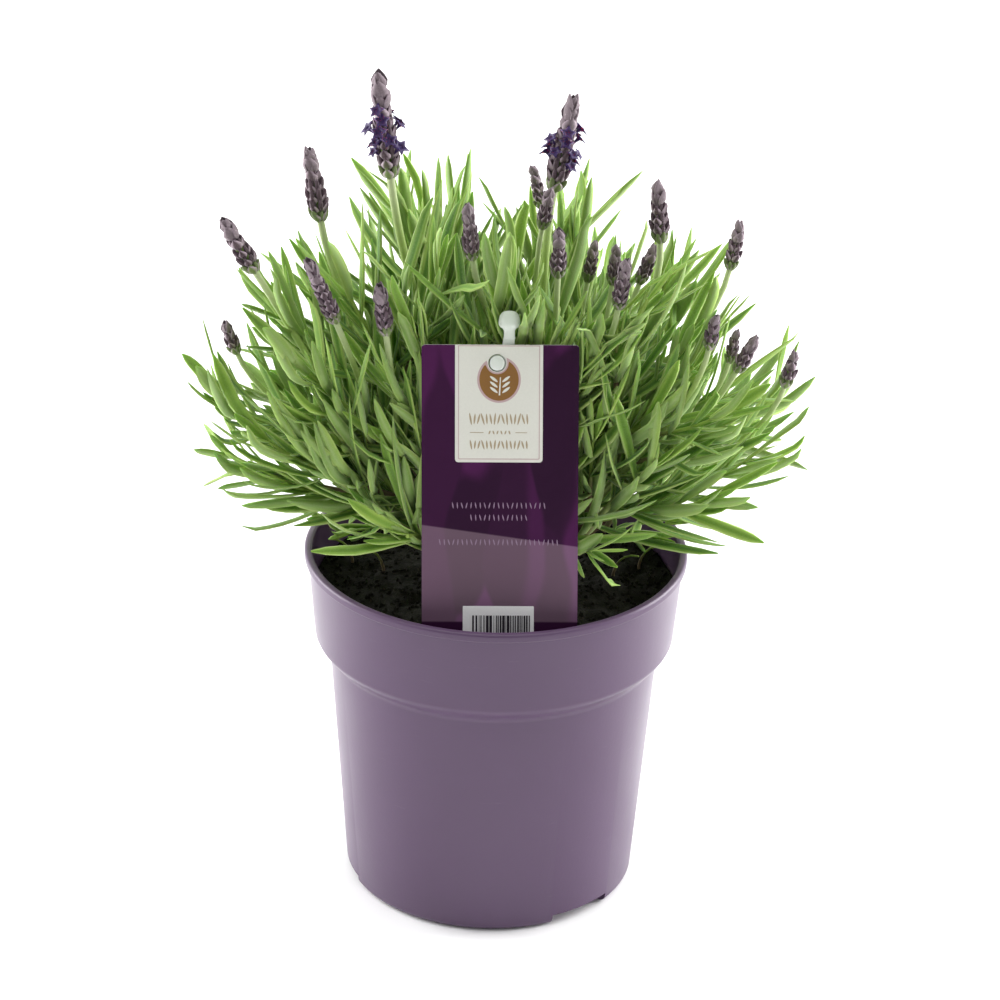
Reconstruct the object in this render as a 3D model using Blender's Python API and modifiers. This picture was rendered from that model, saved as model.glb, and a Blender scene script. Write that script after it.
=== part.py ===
# A lavender plant in a plastic grow pot, with a printed card on a clear stake.
# The origin is on the floor under the middle of the pot. The card faces -Y and +Z is up.
import math
import random

import bmesh
import bpy
from mathutils import Matrix, Vector, noise
from mathutils.bvhtree import BVHTree

for old_object in list(bpy.data.objects):
    bpy.data.objects.remove(old_object, do_unlink=True)

MM = 0.001
GAP = 0.0003  # left between pieces that touch
ROUND_STEPS = 36
GOLDEN_ANGLE = math.radians(137.508)

# Pot
POT_HEIGHT = 0.1225
RIM_RADIUS = 0.065
RIM_OPENING_RADIUS = 0.0622
LIP_HEIGHT = 0.003
BAND_TOP_RADIUS = 0.0637
BAND_FOOT_RADIUS = 0.0613
BAND_FOOT_Z = 0.0925
BODY_TOP_RADIUS = 0.056
BODY_TOP_Z = 0.0845
BODY_FOOT_RADIUS = 0.0496
FOOT_ROUND = 0.0035
WALL = 0.0013
CHANNEL_ANGLES = (41, 161, -79)  # degrees, from the front towards +X
CHANNEL_WIDTH = 0.024
CHANNEL_HEIGHT = 0.004
CHANNEL_INNER_RADIUS = 0.030
DRAIN_HOLE_RADIUS = 0.0045
DRAIN_HOLE_PLACE = 0.0385

# Soil
SOIL_EDGE_Z = 0.1065
SOIL_MOUND = 0.004
SOIL_LUMPS = 0.0016

# Card and stake
CARD_WIDTH = 0.0512
CARD_LENGTH = 0.1093
CARD_THICKNESS = 0.0005
CARD_CORNER = 0.0012
CARD_FOOT = Vector((0.0021, -0.0538, 0.104))
CARD_LEAN = math.radians(12.6)
CARD_SWING = math.radians(-1.2)
CARD_HOLE_RADIUS = 0.0029
CARD_HOLE_SHIFT = -0.0010  # to the left of the card's middle
CARD_HOLE_DROP = 0.0060  # below the card's top edge
STUD_RADIUS = 0.0025
STUD_LENGTH = 0.0024
STAKE_WIDTH = 0.0050
STAKE_THICKNESS = 0.0012
STAKE_TIP_Z = 0.060
STAKE_SHIFTS = (0.0029, 0.0021, -0.0028)  # at its top, its stud and its foot
KNOB_RADIUS = 0.0036
KNOB_HEIGHT = 0.0076
KNOB_DEPTH = 0.55  # of its width
KNOB_RISE = 0.0034  # from the card's top edge to the knob's neck

# Woody base
COLLAR_RADIUS = 0.0042
COLLAR_TOP_Z = 0.117
ROOT_END_Z = 0.078
BRANCHES = 9
BRANCH_REACH = 0.030
BRANCH_RADIUS = 0.0019

# Leafy shoots
SHOOTS = 30
CROWN_FLOOR_Z = 0.137
CROWN_RISE = 0.079
CROWN_RADIUS = 0.074
CARD_CLEARANCE = 0.009
SHOOT_RADIUS = 0.0010
SHOOT_LOOSENESS = 0.0007
STEM_TRIES = 60
LEAF_PAIRS = 4
LEAF_LENGTH = 0.040
LEAF_HALF_WIDTH = 0.0022
LEAF_THICKNESS = 0.0011
CLEARANCE = 0.0004

# Flower stems
STALK_RADIUS = 0.0010
# Each spike's tip (x, y, z), its length, how far it leans to +X and its width, in mm and degrees.
SPIKES = (
    (-42, 6, 290, 36, -7, 9.2),
    (-65, 20, 258, 25, -9, 8.6),
    (-92, -5, 242, 23, -30, 7.6),
    (-93, 16, 196, 12, -21, 5.6),
    (-63, -28, 238, 24, -22, 6.0),
    (-40, -30, 231, 20, -8, 6.8),
    (-12, -12, 252, 21, -6, 6.0),
    (22, 16, 280, 33, 10, 9.4),
    (9, 34, 248, 16, -14, 5.0),
    (15, 4, 252, 15, 10, 5.2),
    (18, -12, 244, 18, 0, 5.6),
    (31, 42, 218, 15, 9, 5.2),
    (38, 26, 223, 14, 5, 5.2),
    (40, -24, 239, 19, 7, 6.0),
    (50, 10, 253, 23, -5, 7.4),
    (51, 30, 222, 15, 20, 5.4),
    (79, 26, 233, 18, 10, 6.0),
    (70, -18, 218, 13, 8, 5.6),
    (80, 34, 190, 12, 11, 5.0),
    (84, -12, 208, 15, 25, 5.6),
    (98, 2, 197, 14, 13, 5.6),
)


def collection(name):
    made = bpy.data.collections.new(name)
    bpy.context.scene.collection.children.link(made)
    return made


PLANT = collection("potted_lavender")
CUTTERS = collection("cutters")


def material(name, colour, roughness):
    made = bpy.data.materials.new(name)
    made.use_nodes = True
    shader = made.node_tree.nodes["Principled BSDF"]
    shader.inputs["Base Color"].default_value = (*colour, 1)
    shader.inputs["Roughness"].default_value = roughness
    return made


def add_object(name, mesh, finish=None):
    made = bpy.data.objects.new(name, mesh)
    PLANT.objects.link(made)
    if finish:
        mesh.materials.clear()
        mesh.materials.append(finish)
    return made


def as_cutter(obj):
    """Keeps an object as a helper that only Boolean modifiers use."""
    obj.hide_render = True
    obj.display_type = "WIRE"
    PLANT.objects.unlink(obj)
    CUTTERS.objects.link(obj)
    return obj


def boolean(obj, other, operation, use_self=False):
    modifier = obj.modifiers.new(operation.lower(), "BOOLEAN")
    modifier.object = other
    modifier.operation = operation
    modifier.solver = "EXACT"
    modifier.use_self = use_self


def mesh_of(obj):
    """The evaluated mesh of an object in world space, its doubles merged; the object is removed."""
    bpy.context.view_layer.update()
    graph = bpy.context.evaluated_depsgraph_get()
    mesh = bpy.data.meshes.new_from_object(obj.evaluated_get(graph))
    mesh.transform(obj.matrix_world)
    bpy.data.objects.remove(obj, do_unlink=True)
    shape = bmesh.new()
    shape.from_mesh(mesh)
    bmesh.ops.remove_doubles(shape, verts=shape.verts, dist=1e-6)
    bmesh.ops.recalc_face_normals(shape, faces=shape.faces)
    shape.to_mesh(mesh)
    shape.free()
    return mesh


def turned(name, profile, finish=None, steps=ROUND_STEPS):
    """A solid turned about Z from (radius, z) points that run from the top down its outer side."""
    mesh = bpy.data.meshes.new(name)
    edges = [(i, i + 1) for i in range(len(profile) - 1)]
    mesh.from_pydata([(radius, 0, z) for radius, z in profile], edges, [])
    obj = add_object(name, mesh, finish)
    screw = obj.modifiers.new("turn", "SCREW")
    screw.steps = screw.render_steps = steps
    screw.use_merge_vertices = True
    screw.merge_threshold = 0.00001
    screw.use_smooth_shade = False
    return obj


def box(name, size, centre, turn=0.0):
    bpy.ops.mesh.primitive_cube_add(size=1)
    obj = bpy.context.object
    obj.name = name
    for owner in list(obj.users_collection):
        owner.objects.unlink(obj)
    PLANT.objects.link(obj)
    obj.data.transform(Matrix.Diagonal((*size, 1)))
    obj.matrix_world = Matrix.Rotation(turn, 4, "Z") @ Matrix.Translation(centre)
    return obj


def poly_curve(name, points, radii, cyclic=False):
    curve = bpy.data.curves.new(name, "CURVE")
    curve.dimensions = "3D"
    curve.use_fill_caps = True
    spline = curve.splines.new("POLY")
    spline.points.add(len(points) - 1)
    for slot, point, radius in zip(spline.points, points, radii):
        slot.co = (*point, 1)
        slot.radius = radius
    spline.use_cyclic_u = cyclic
    return add_object(name, curve)


def tube_mesh(points, radii, detail=0):
    """A round stem along the points; detail 0 has four sides and 1 has six."""
    obj = poly_curve("tube", points, [radius / MM for radius in radii])
    obj.data.bevel_depth = MM
    obj.data.bevel_resolution = detail
    return mesh_of(obj)


def bezier(start, start_pull, end_pull, end, count):
    """Points along the curve between two ends, each with a handle."""
    points = []
    for i in range(count):
        t = i / (count - 1)
        s = 1 - t
        points.append(
            start * s**3 + start_pull * 3 * s * s * t + end_pull * 3 * s * t * t + end * t**3
        )
    return points


def from_front(degrees, radius, z=0.0):
    angle = math.radians(degrees)
    return Vector((radius * math.sin(angle), -radius * math.cos(angle), z))


# --- Pot and soil


def outer_side():
    """(radius, z) down the outside of the pot, under the lip."""
    shoulder = []
    for i in range(1, 5):
        t = i / 5
        ease = t * t * (3 - 2 * t)
        radius = BAND_FOOT_RADIUS + (BODY_TOP_RADIUS - BAND_FOOT_RADIUS) * ease
        shoulder.append((radius, BAND_FOOT_Z + (BODY_TOP_Z - BAND_FOOT_Z) * t))
    return (
        [(BAND_TOP_RADIUS, POT_HEIGHT - LIP_HEIGHT), (BAND_FOOT_RADIUS, BAND_FOOT_Z)]
        + shoulder
        + [(BODY_TOP_RADIUS, BODY_TOP_Z)]
    )


def foot_round(radius, floor, round_radius):
    """(radius, z) from the wall to the floor of the pot, round the edge of its base."""
    points = []
    for i in range(3):
        angle = math.radians(45 * i)
        points.append(
            (
                radius - round_radius * (1 - math.cos(angle)),
                floor + round_radius * (1 - math.sin(angle)),
            )
        )
    return points


def band_radius(z):
    """The outer radius of the tapered rim band at this height."""
    rise = (z - BAND_FOOT_Z) / (POT_HEIGHT - LIP_HEIGHT - BAND_FOOT_Z)
    return BAND_FOOT_RADIUS + (BAND_TOP_RADIUS - BAND_FOOT_RADIUS) * rise


def inner_side(gap, top_z):
    """(radius, z) down the inside of the pot, kept this far off its wall."""
    offset = WALL + gap
    points = [(radius - offset, z) for radius, z in outer_side() if z < top_z]
    points = [(band_radius(top_z) - offset, top_z)] + points
    floor = foot_round(BODY_FOOT_RADIUS - offset, offset, FOOT_ROUND)
    return points + floor + [(0, offset)]


def channel_boxes(name, grow):
    """One box for each drainage channel, larger by this much on every side but the floor's."""
    reach = BODY_FOOT_RADIUS * 1.3 - CHANNEL_INNER_RADIUS + grow
    depth = 0.01
    boxes = []
    for angle in CHANNEL_ANGLES:
        size = (CHANNEL_WIDTH + 2 * grow, reach, depth + CHANNEL_HEIGHT + grow)
        centre = Vector(
            (
                0,
                -(CHANNEL_INNER_RADIUS - grow + reach / 2),
                (CHANNEL_HEIGHT + grow - depth) / 2,
            )
        )
        boxes.append(as_cutter(box(name, size, centre, math.radians(angle))))
    return boxes


def make_pot(finish):
    lip = [
        (RIM_OPENING_RADIUS + 0.0006, POT_HEIGHT),
        (RIM_RADIUS - 0.0006, POT_HEIGHT),
        (RIM_RADIUS, POT_HEIGHT - 0.0007),
        (RIM_RADIUS, POT_HEIGHT - LIP_HEIGHT + 0.0004),
        (RIM_RADIUS - 0.0004, POT_HEIGHT - LIP_HEIGHT),
    ]
    foot = foot_round(BODY_FOOT_RADIUS, 0, FOOT_ROUND)
    pot = turned("pot", [(0, POT_HEIGHT)] + lip + outer_side() + foot + [(0, 0)], finish)
    above = POT_HEIGHT + 0.01
    mouth = [
        (0, above),
        (RIM_OPENING_RADIUS + 0.0006, above),
        (RIM_OPENING_RADIUS + 0.0006, POT_HEIGHT),
        (RIM_OPENING_RADIUS, POT_HEIGHT - 0.0006),
    ]
    hollow = as_cutter(turned("pot_hollow", mouth + inner_side(0, POT_HEIGHT - LIP_HEIGHT)))
    for channel in channel_boxes("channel_roof", WALL):
        boolean(hollow, channel, "DIFFERENCE")
    boolean(pot, hollow, "DIFFERENCE")
    for channel in channel_boxes("channel", 0):
        boolean(pot, channel, "DIFFERENCE")
    for angle in CHANNEL_ANGLES:
        bpy.ops.mesh.primitive_cylinder_add(
            vertices=16,
            radius=DRAIN_HOLE_RADIUS,
            depth=0.02,
            location=from_front(angle, DRAIN_HOLE_PLACE, CHANNEL_HEIGHT),
        )
        hole = bpy.context.object
        hole.name = "drain_hole"
        for owner in list(hole.users_collection):
            owner.objects.unlink(hole)
        PLANT.objects.link(hole)
        boolean(pot, as_cutter(hole), "DIFFERENCE")
    return pot


def make_soil(finish, pieces):
    """Fills the pot to under its rim, with room for each piece that stands in it."""
    top = []
    edge = band_radius(SOIL_EDGE_Z) - WALL - GAP - 0.002
    for i in range(5):
        t = i / 4
        top.append((edge * t, SOIL_EDGE_Z + SOIL_MOUND * (1 - t * t)))
    fill = mesh_of(turned("soil", top[:-1] + inner_side(GAP, SOIL_EDGE_Z)))
    for vertex in fill.vertices:
        if vertex.co.z > SOIL_EDGE_Z - 0.0001 and vertex.co.xy.length < edge:
            vertex.co.z += SOIL_LUMPS * noise.noise(vertex.co * 90)
    soil = add_object("soil", fill, finish)
    for channel in channel_boxes("soil_channel", WALL + GAP):
        boolean(soil, channel, "DIFFERENCE")
    for piece in pieces:
        boolean(soil, piece, "DIFFERENCE")
    return soil


# --- Card and stake


def card_matrix():
    """Where the card stands: X is its width, Y runs up it and Z points out of its printed face."""
    up = Vector((0, math.sin(CARD_LEAN), math.cos(CARD_LEAN)))
    across = Vector((1, 0, 0))
    face = across.cross(up)
    turn = Matrix((across, up, face)).transposed().to_4x4()
    return Matrix.Translation(CARD_FOOT) @ turn @ Matrix.Rotation(-CARD_SWING, 4, "Z")


def flat_outline(name, loops, thickness):
    """A flat piece from closed outlines, the first its edge and any others its holes."""
    curve = bpy.data.curves.new(name, "CURVE")
    curve.dimensions = "2D"
    curve.fill_mode = "BOTH"
    curve.extrude = thickness / 2
    for loop in loops:
        spline = curve.splines.new("POLY")
        spline.points.add(len(loop) - 1)
        for slot, (x, y) in zip(spline.points, loop):
            slot.co = (x, y, 0, 1)
        spline.use_cyclic_u = True
    return add_object(name, curve)


def ring(radius, centre_x, centre_y, count):
    return [
        (
            centre_x + radius * math.cos(math.tau * i / count),
            centre_y + radius * math.sin(math.tau * i / count),
        )
        for i in range(count)
    ]


def card_outline(grow):
    half = CARD_WIDTH / 2 + grow
    corners = (
        (half, -grow, -90),
        (half, CARD_LENGTH + grow, 0),
        (-half, CARD_LENGTH + grow, 90),
        (-half, -grow, 180),
    )
    points = []
    for x, y, start in corners:
        centre_x = x - math.copysign(CARD_CORNER, x)
        centre_y = y + (CARD_CORNER if y < 0.01 else -CARD_CORNER)
        for i in range(3):
            angle = math.radians(start + 45 * i)
            points.append(
                (
                    centre_x + CARD_CORNER * math.cos(angle),
                    centre_y + CARD_CORNER * math.sin(angle),
                )
            )
    return points


def make_card(finish):
    hole = ring(CARD_HOLE_RADIUS, CARD_HOLE_SHIFT, CARD_LENGTH - CARD_HOLE_DROP, 20)
    card = flat_outline("card_blank", [card_outline(0), hole], CARD_THICKNESS)
    card.matrix_world = card_matrix()
    add_object("label_card", mesh_of(card), finish)
    room = flat_outline("card_slot", [card_outline(GAP)], CARD_THICKNESS + 2 * GAP)
    room.matrix_world = card_matrix()
    return as_cutter(add_object("card_slot", mesh_of(room)))


def strip(name, grow):
    """The stake's flat strip: up the back of the card, and bent straight down in the soil."""
    behind = CARD_THICKNESS / 2 + GAP + STAKE_THICKNESS / 2
    place = card_matrix()
    top = place @ Vector((STAKE_SHIFTS[0], CARD_LENGTH + KNOB_RISE - 0.0004, -behind))
    hole_height = place @ Vector((STAKE_SHIFTS[1], CARD_LENGTH - CARD_HOLE_DROP, -behind))
    foot = place @ Vector((STAKE_SHIFTS[2], 0.004, -behind))
    bend = foot + Vector((0, 0.0006, -0.006))
    buried = foot + Vector((0, 0.0022, -0.020))
    tip = Vector((foot.x, foot.y + 0.0062, STAKE_TIP_Z - grow))
    points = [top, hole_height, foot, bend, buried, tip]
    widths = [0.7, 1, 1, 1, 1, 0.4]
    across = place.to_3x3() @ Vector((1, 0, 0))
    corners = []
    for i, (point, width) in enumerate(zip(points, widths)):
        before, after = points[max(i - 1, 0)], points[min(i + 1, len(points) - 1)]
        facing = across.cross(before - after).normalized()
        side = across * (STAKE_WIDTH / 2 * width + grow)
        out = facing * (STAKE_THICKNESS / 2 + grow)
        corners += [point - side - out, point + side - out, point + side + out, point - side + out]
    last = 4 * len(points) - 4
    faces = [(0, 1, 2, 3), (last + 3, last + 2, last + 1, last)]
    for row in range(0, last, 4):
        for i in range(4):
            j = (i + 1) % 4
            faces.append((row + i, row + 4 + i, row + 4 + j, row + j))
    mesh = bpy.data.meshes.new(name)
    mesh.from_pydata(corners, [], faces)
    return mesh_of(add_object(name, mesh))


def make_stake(finish):
    behind = CARD_THICKNESS / 2 + GAP + STAKE_THICKNESS / 2
    place = card_matrix()
    profile = [
        (0, KNOB_HEIGHT),
        (KNOB_RADIUS * 0.5, KNOB_HEIGHT * 0.97),
        (KNOB_RADIUS * 0.8, KNOB_HEIGHT * 0.84),
        (KNOB_RADIUS * 0.93, KNOB_HEIGHT * 0.6),
        (KNOB_RADIUS, KNOB_HEIGHT * 0.42),
        (KNOB_RADIUS * 0.9, KNOB_HEIGHT * 0.28),
        (KNOB_RADIUS * 0.5, KNOB_HEIGHT * 0.2),
        (KNOB_RADIUS * 0.5, 0),
        (KNOB_RADIUS * 0.8, -0.0016),
        (0, -0.0016),
    ]
    knob = turned("knob", profile, steps=12)
    stand_up = Matrix.Rotation(math.radians(-90), 4, "X")
    flatten = Matrix.Diagonal((1, 1, KNOB_DEPTH, 1))
    knob.matrix_world = (
        place
        @ Matrix.Translation((STAKE_SHIFTS[0], CARD_LENGTH + KNOB_RISE, -behind))
        @ flatten
        @ stand_up
    )
    knob = as_cutter(add_object("knob", mesh_of(knob)))
    bpy.ops.mesh.primitive_cylinder_add(vertices=16, radius=STUD_RADIUS, depth=STUD_LENGTH)
    stud = bpy.context.object
    for owner in list(stud.users_collection):
        owner.objects.unlink(stud)
    PLANT.objects.link(stud)
    stud.matrix_world = place @ Matrix.Translation(
        (CARD_HOLE_SHIFT, CARD_LENGTH - CARD_HOLE_DROP, -behind + STUD_LENGTH / 2)
    )
    stud = as_cutter(add_object("stud", mesh_of(stud)))
    stake = add_object("label_stake", strip("stake_strip", 0), finish)
    boolean(stake, knob, "UNION")
    boolean(stake, stud, "UNION")
    return as_cutter(add_object("stake_slot", strip("stake_slot_strip", GAP)))


# --- Plant


class Growth:
    """Holds every surface grown so far, so that the next piece keeps clear of it."""

    def __init__(self):
        self.pieces = {}

    def add(self, name, mesh):
        points = [vertex.co.copy() for vertex in mesh.vertices]
        faces = [tuple(face.vertices) for face in mesh.polygons]
        self.pieces.setdefault(name, []).append((points, faces))

    def add_finished(self, obj):
        """Takes an object as its modifiers leave it."""
        bpy.context.view_layer.update()
        graph = bpy.context.evaluated_depsgraph_get()
        mesh = bpy.data.meshes.new_from_object(obj.evaluated_get(graph))
        mesh.transform(obj.matrix_world)
        self.add(obj.name, mesh)
        bpy.data.meshes.remove(mesh)

    def tree_without(self, name):
        points, faces = [], []
        for owner, parts in self.pieces.items():
            if owner == name:
                continue
            for part_points, part_faces in parts:
                start = len(points)
                points += part_points
                faces += [tuple(start + i for i in face) for face in part_faces]
        return BVHTree.FromPolygons(points, faces)


def meets(tree, mesh):
    points = [vertex.co for vertex in mesh.vertices]
    faces = [tuple(face.vertices) for face in mesh.polygons]
    return bool(tree.overlap(BVHTree.FromPolygons(points, faces)))


def dome_direction(index, count):
    """The directions that share a half sphere evenly between this many pieces."""
    height = 1 - (index + 0.5) / count
    level = math.sqrt(1 - height * height)
    angle = index * GOLDEN_ANGLE
    return Vector((level * math.cos(angle), level * math.sin(angle), height))


def behind_card(point, clearance):
    """Moves a point back until it is clear of the card."""
    if abs(point.x) < CARD_WIDTH / 2 + clearance:
        card_y = CARD_FOOT.y + (point.z - CARD_FOOT.z) * math.tan(CARD_LEAN)
        point.y = max(point.y, card_y + clearance)
    return point


def branch_lines():
    root = Vector((0, 0, COLLAR_TOP_Z - 0.004))
    lines = []
    for i in range(BRANCHES):
        way = dome_direction(i, BRANCHES)
        reach = BRANCH_REACH * (0.85 + 0.3 * (i % 3) / 2)
        tip = root + Vector((way.x * 1.15, way.y * 1.15, way.z + 0.32)) * reach
        middle = root.lerp(tip, 0.5) + Vector((way.x, way.y, 0)) * reach * 0.08
        lines.append((root, middle, tip))
    return lines


def make_woody_base(finish, growth, branches):
    collar = tube_mesh(
        [(0, 0, ROOT_END_Z), (0, 0, 0.095), (0, 0, SOIL_EDGE_Z), (0, 0, COLLAR_TOP_Z)],
        [COLLAR_RADIUS * 0.35, COLLAR_RADIUS * 0.8, COLLAR_RADIUS, COLLAR_RADIUS * 0.85],
        detail=1,
    )
    base = add_object("woody_base", collar, finish)
    growth.add("woody_base", collar)
    for line in branches:
        radii = [BRANCH_RADIUS * 1.3, BRANCH_RADIUS, BRANCH_RADIUS * 0.8]
        branch = tube_mesh(line, radii, detail=1)
        growth.add("woody_base", branch)
        boolean(base, as_cutter(add_object("branch", branch)), "UNION")
    room = tube_mesh(
        [(0, 0, ROOT_END_Z - GAP), (0, 0, 0.095), (0, 0, SOIL_EDGE_Z), (0, 0, COLLAR_TOP_Z)],
        [COLLAR_RADIUS * 0.35 + GAP, COLLAR_RADIUS * 0.8 + GAP, COLLAR_RADIUS + GAP]
        + [COLLAR_RADIUS + GAP],
        detail=1,
    )
    return as_cutter(add_object("collar_room", room))


def best_branch(branches, target, taken):
    """The branch that points most nearly at the target and still has room."""
    root = branches[0][0]
    way = (target - root).normalized()
    room = [i for i in range(len(branches)) if taken[i] < 7]
    return max(room, key=lambda i: way.dot((branches[i][2] - branches[i][0]).normalized()))


def stem_line(branch, order, target, heading, rng, count):
    """A stem that leaves a branch at its side and bends towards its own heading."""
    way = (branch[2] - branch[1]).normalized()
    side = way.orthogonal().normalized()
    side.rotate(Matrix.Rotation(order * GOLDEN_ANGLE + rng.uniform(-0.5, 0.5), 3, way))
    along = 1.0 - 0.13 * order
    offset = BRANCH_RADIUS + SHOOT_RADIUS + 3 * CLEARANCE
    start = branch[1].lerp(branch[2], along) + side * offset
    distance = (target - start).length
    leave = (way + side * 0.5 + Vector((0, 0, 0.3))).normalized()
    start_pull = start + leave * distance * rng.uniform(0.25, 0.4)
    end_pull = target - heading * distance * rng.uniform(0.3, 0.45)
    return bezier(start, start_pull, end_pull, target, count)


def grow_stem(name, growth, branches, taken, target, heading, radii, looseness):
    """Places one stem clear of everything grown before it; returns its line and its mesh."""
    rng = random.Random(name)
    tree = growth.tree_without(name)
    index = best_branch(branches, target, taken)
    order = taken[index]
    taken[index] += 1
    for attempt in range(STEM_TRIES):
        wander = looseness * attempt
        end = target + Vector([rng.uniform(-wander, wander) for _ in range(3)])
        line = stem_line(branches[index], order + attempt // 20, end, heading, rng, len(radii))
        if not meets(tree, tube_mesh(line, [radius + CLEARANCE for radius in radii])):
            break
    else:
        print(name, "found no clear way")
    mesh = tube_mesh(line, radii)
    growth.add(name, mesh)
    return line, mesh


def spike_mesh(tip, length, way, radius):
    """A spike of stacked whorls, turned about its own axis."""
    whorls = max(2, round(length / 0.007))
    profile = [(0, 0), (radius * 0.45, -length * 0.03)]
    for i in range(whorls):
        low = (i + 1) / whorls
        swell = 0.72 + 0.28 * math.sin(math.pi * min(1, low + 0.1))
        profile.append((radius * swell, -length * (low - 0.45 / whorls)))
        profile.append((radius * swell * 0.7, -length * (low - 0.1 / whorls)))
    profile += [(radius * 0.35, -length * 1.03), (0, -length * 1.03)]
    spike = turned("spike", profile, steps=6)
    turn = Vector((0, 0, 1)).rotation_difference(way).to_matrix().to_4x4()
    spike.matrix_world = Matrix.Translation(tip) @ turn
    return mesh_of(spike)


def make_flower_stems(stalk_finish, growth, branches, taken):
    spikes = []
    for number, (x, y, z, length, lean, width) in enumerate(SPIKES, 1):
        name = f"flower_stem_{number:02d}"
        tip = Vector((x, y, z)) * MM
        outward = math.radians(12) * y / 60
        way = Vector((math.tan(math.radians(lean)), math.tan(outward), 1)).normalized()
        mesh = spike_mesh(tip, length * MM, way, width / 2 * MM)
        growth.add(name, mesh)
        spikes.append((name, tip - way * length * MM, way, mesh))
    for name, base, way, mesh in spikes:
        radii = [STALK_RADIUS] * 6
        _, stalk = grow_stem(name, growth, branches, taken, base + way * MM, way, radii, 0)
        flower = add_object(name, mesh, stalk_finish)
        boolean(flower, as_cutter(add_object("stalk", stalk)), "UNION")


def shoot_target(index):
    way = dome_direction(index, SHOOTS)
    level = math.hypot(way.x, way.y)
    reach = CROWN_RADIUS * level**0.75 / level
    target = Vector((way.x * reach, way.y * reach, CROWN_FLOOR_Z + CROWN_RISE * way.z**0.8))
    heading = Vector((way.x * 0.9, way.y * 0.9, way.z + 0.22)).normalized()
    return behind_card(target, CARD_CLEARANCE), heading


def leaf_blank(bend, grow):
    """A leaf of unit length that leaves the origin along +X and bends down, -Z, by this much."""
    places = (0.0, 0.2, 0.6, 1.0)
    points = [(s * (1 - 0.25 * bend * s), 0, -0.5 * bend * s * s) for s in places]
    half_width = LEAF_HALF_WIDTH / LEAF_LENGTH + grow
    half_depth = LEAF_THICKNESS / 2 / LEAF_LENGTH + grow
    section = poly_curve(
        "section",
        [(-half_width, half_depth, 0), (0, -half_depth, 0), (half_width, half_depth, 0)],
        [1] * 3,
        cyclic=True,
    )
    obj = poly_curve("leaf", points, (0.22, 0.85, 1.0, 0.25))
    obj.data.bevel_mode = "OBJECT"
    obj.data.bevel_object = section
    mesh = mesh_of(obj)
    bpy.data.objects.remove(section, do_unlink=True)
    return mesh


def leaf_matrix(point, axis, around, open_angle, length):
    """Stands a leaf on a stem: turned about the stem's axis and opened away from it."""
    side = axis.orthogonal().normalized()
    side.rotate(Matrix.Rotation(around, 3, axis))
    forward = (axis * math.cos(open_angle) + side * math.sin(open_angle)).normalized()
    width = axis.cross(side).normalized()
    up = forward.cross(width).normalized()
    turn = Matrix((forward, width, up)).transposed().to_4x4()
    base = point + side * SHOOT_RADIUS * 0.45
    return Matrix.Translation(base) @ turn @ Matrix.Scale(length, 4)


def hangs_in_front(mesh):
    """Whether a leaf passes in front of the card, or in front of the card's plane beside it."""
    for vertex in mesh.vertices:
        x, y, z = vertex.co
        card_y = CARD_FOOT.y + (z - CARD_FOOT.z) * math.tan(CARD_LEAN)
        beside = abs(x - CARD_FOOT.x) > CARD_WIDTH / 2 + 0.010
        if z < 0.222 and y < card_y - (0.006 if beside else -0.001):
            return True
    return False


def grow_leaves(name, line, growth, blanks, wide_blanks):
    rng = random.Random(name + "_leaves")
    tree = growth.tree_without(name)
    placed = []
    for pair in range(LEAF_PAIRS):
        t = 0.42 + 0.56 * pair / (LEAF_PAIRS - 1)
        spot = t * (len(line) - 1)
        first = min(int(spot), len(line) - 2)
        point = line[first].lerp(line[first + 1], spot - first)
        axis = (line[first + 1] - line[first]).normalized()
        start_turn = pair * math.pi / 2 + rng.uniform(-0.4, 0.4)
        for side in (0, math.pi):
            for attempt in range(14):
                length = LEAF_LENGTH * rng.uniform(0.8, 1.15) * (1 - 0.03 * attempt)
                open_angle = math.radians(rng.uniform(34, 58) - 20 * t * rng.random())
                around = start_turn + side + rng.uniform(-0.09, 0.09) * attempt
                place = leaf_matrix(point, axis, around, open_angle, length)
                choice = rng.randrange(len(blanks))
                trial = wide_blanks[choice].copy()
                trial.transform(place)
                if not meets(tree, trial) and not hangs_in_front(trial):
                    leaf = blanks[choice].copy()
                    leaf.transform(place)
                    placed.append(leaf)
                    growth.add(name, leaf)
                    break
    return placed


def joined(meshes):
    shape = bmesh.new()
    for mesh in meshes:
        shape.from_mesh(mesh)
    made = bpy.data.meshes.new("leaves")
    shape.to_mesh(made)
    shape.free()
    return made


def make_shoots(finish, growth, branches, taken):
    stems = []
    for index in range(SHOOTS):
        name = f"shoot_{index + 1:02d}"
        target, heading = shoot_target(index)
        radii = [SHOOT_RADIUS * (1.1 - 0.5 * i / 4) for i in range(5)]
        line, stem = grow_stem(
            name, growth, branches, taken, target, heading, radii, SHOOT_LOOSENESS
        )
        stems.append((name, line, stem))
    blanks = [leaf_blank(bend, 0) for bend in (0.1, 0.35, -0.25)]
    wide_blanks = [
        leaf_blank(bend, CLEARANCE / LEAF_LENGTH * 1.3) for bend in (0.1, 0.35, -0.25)
    ]
    for name, line, stem in stems:
        leaves = grow_leaves(name, line, growth, blanks, wide_blanks)
        shoot = add_object(name, stem, finish)
        boolean(shoot, as_cutter(add_object("leaves", joined(leaves))), "UNION", True)


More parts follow.
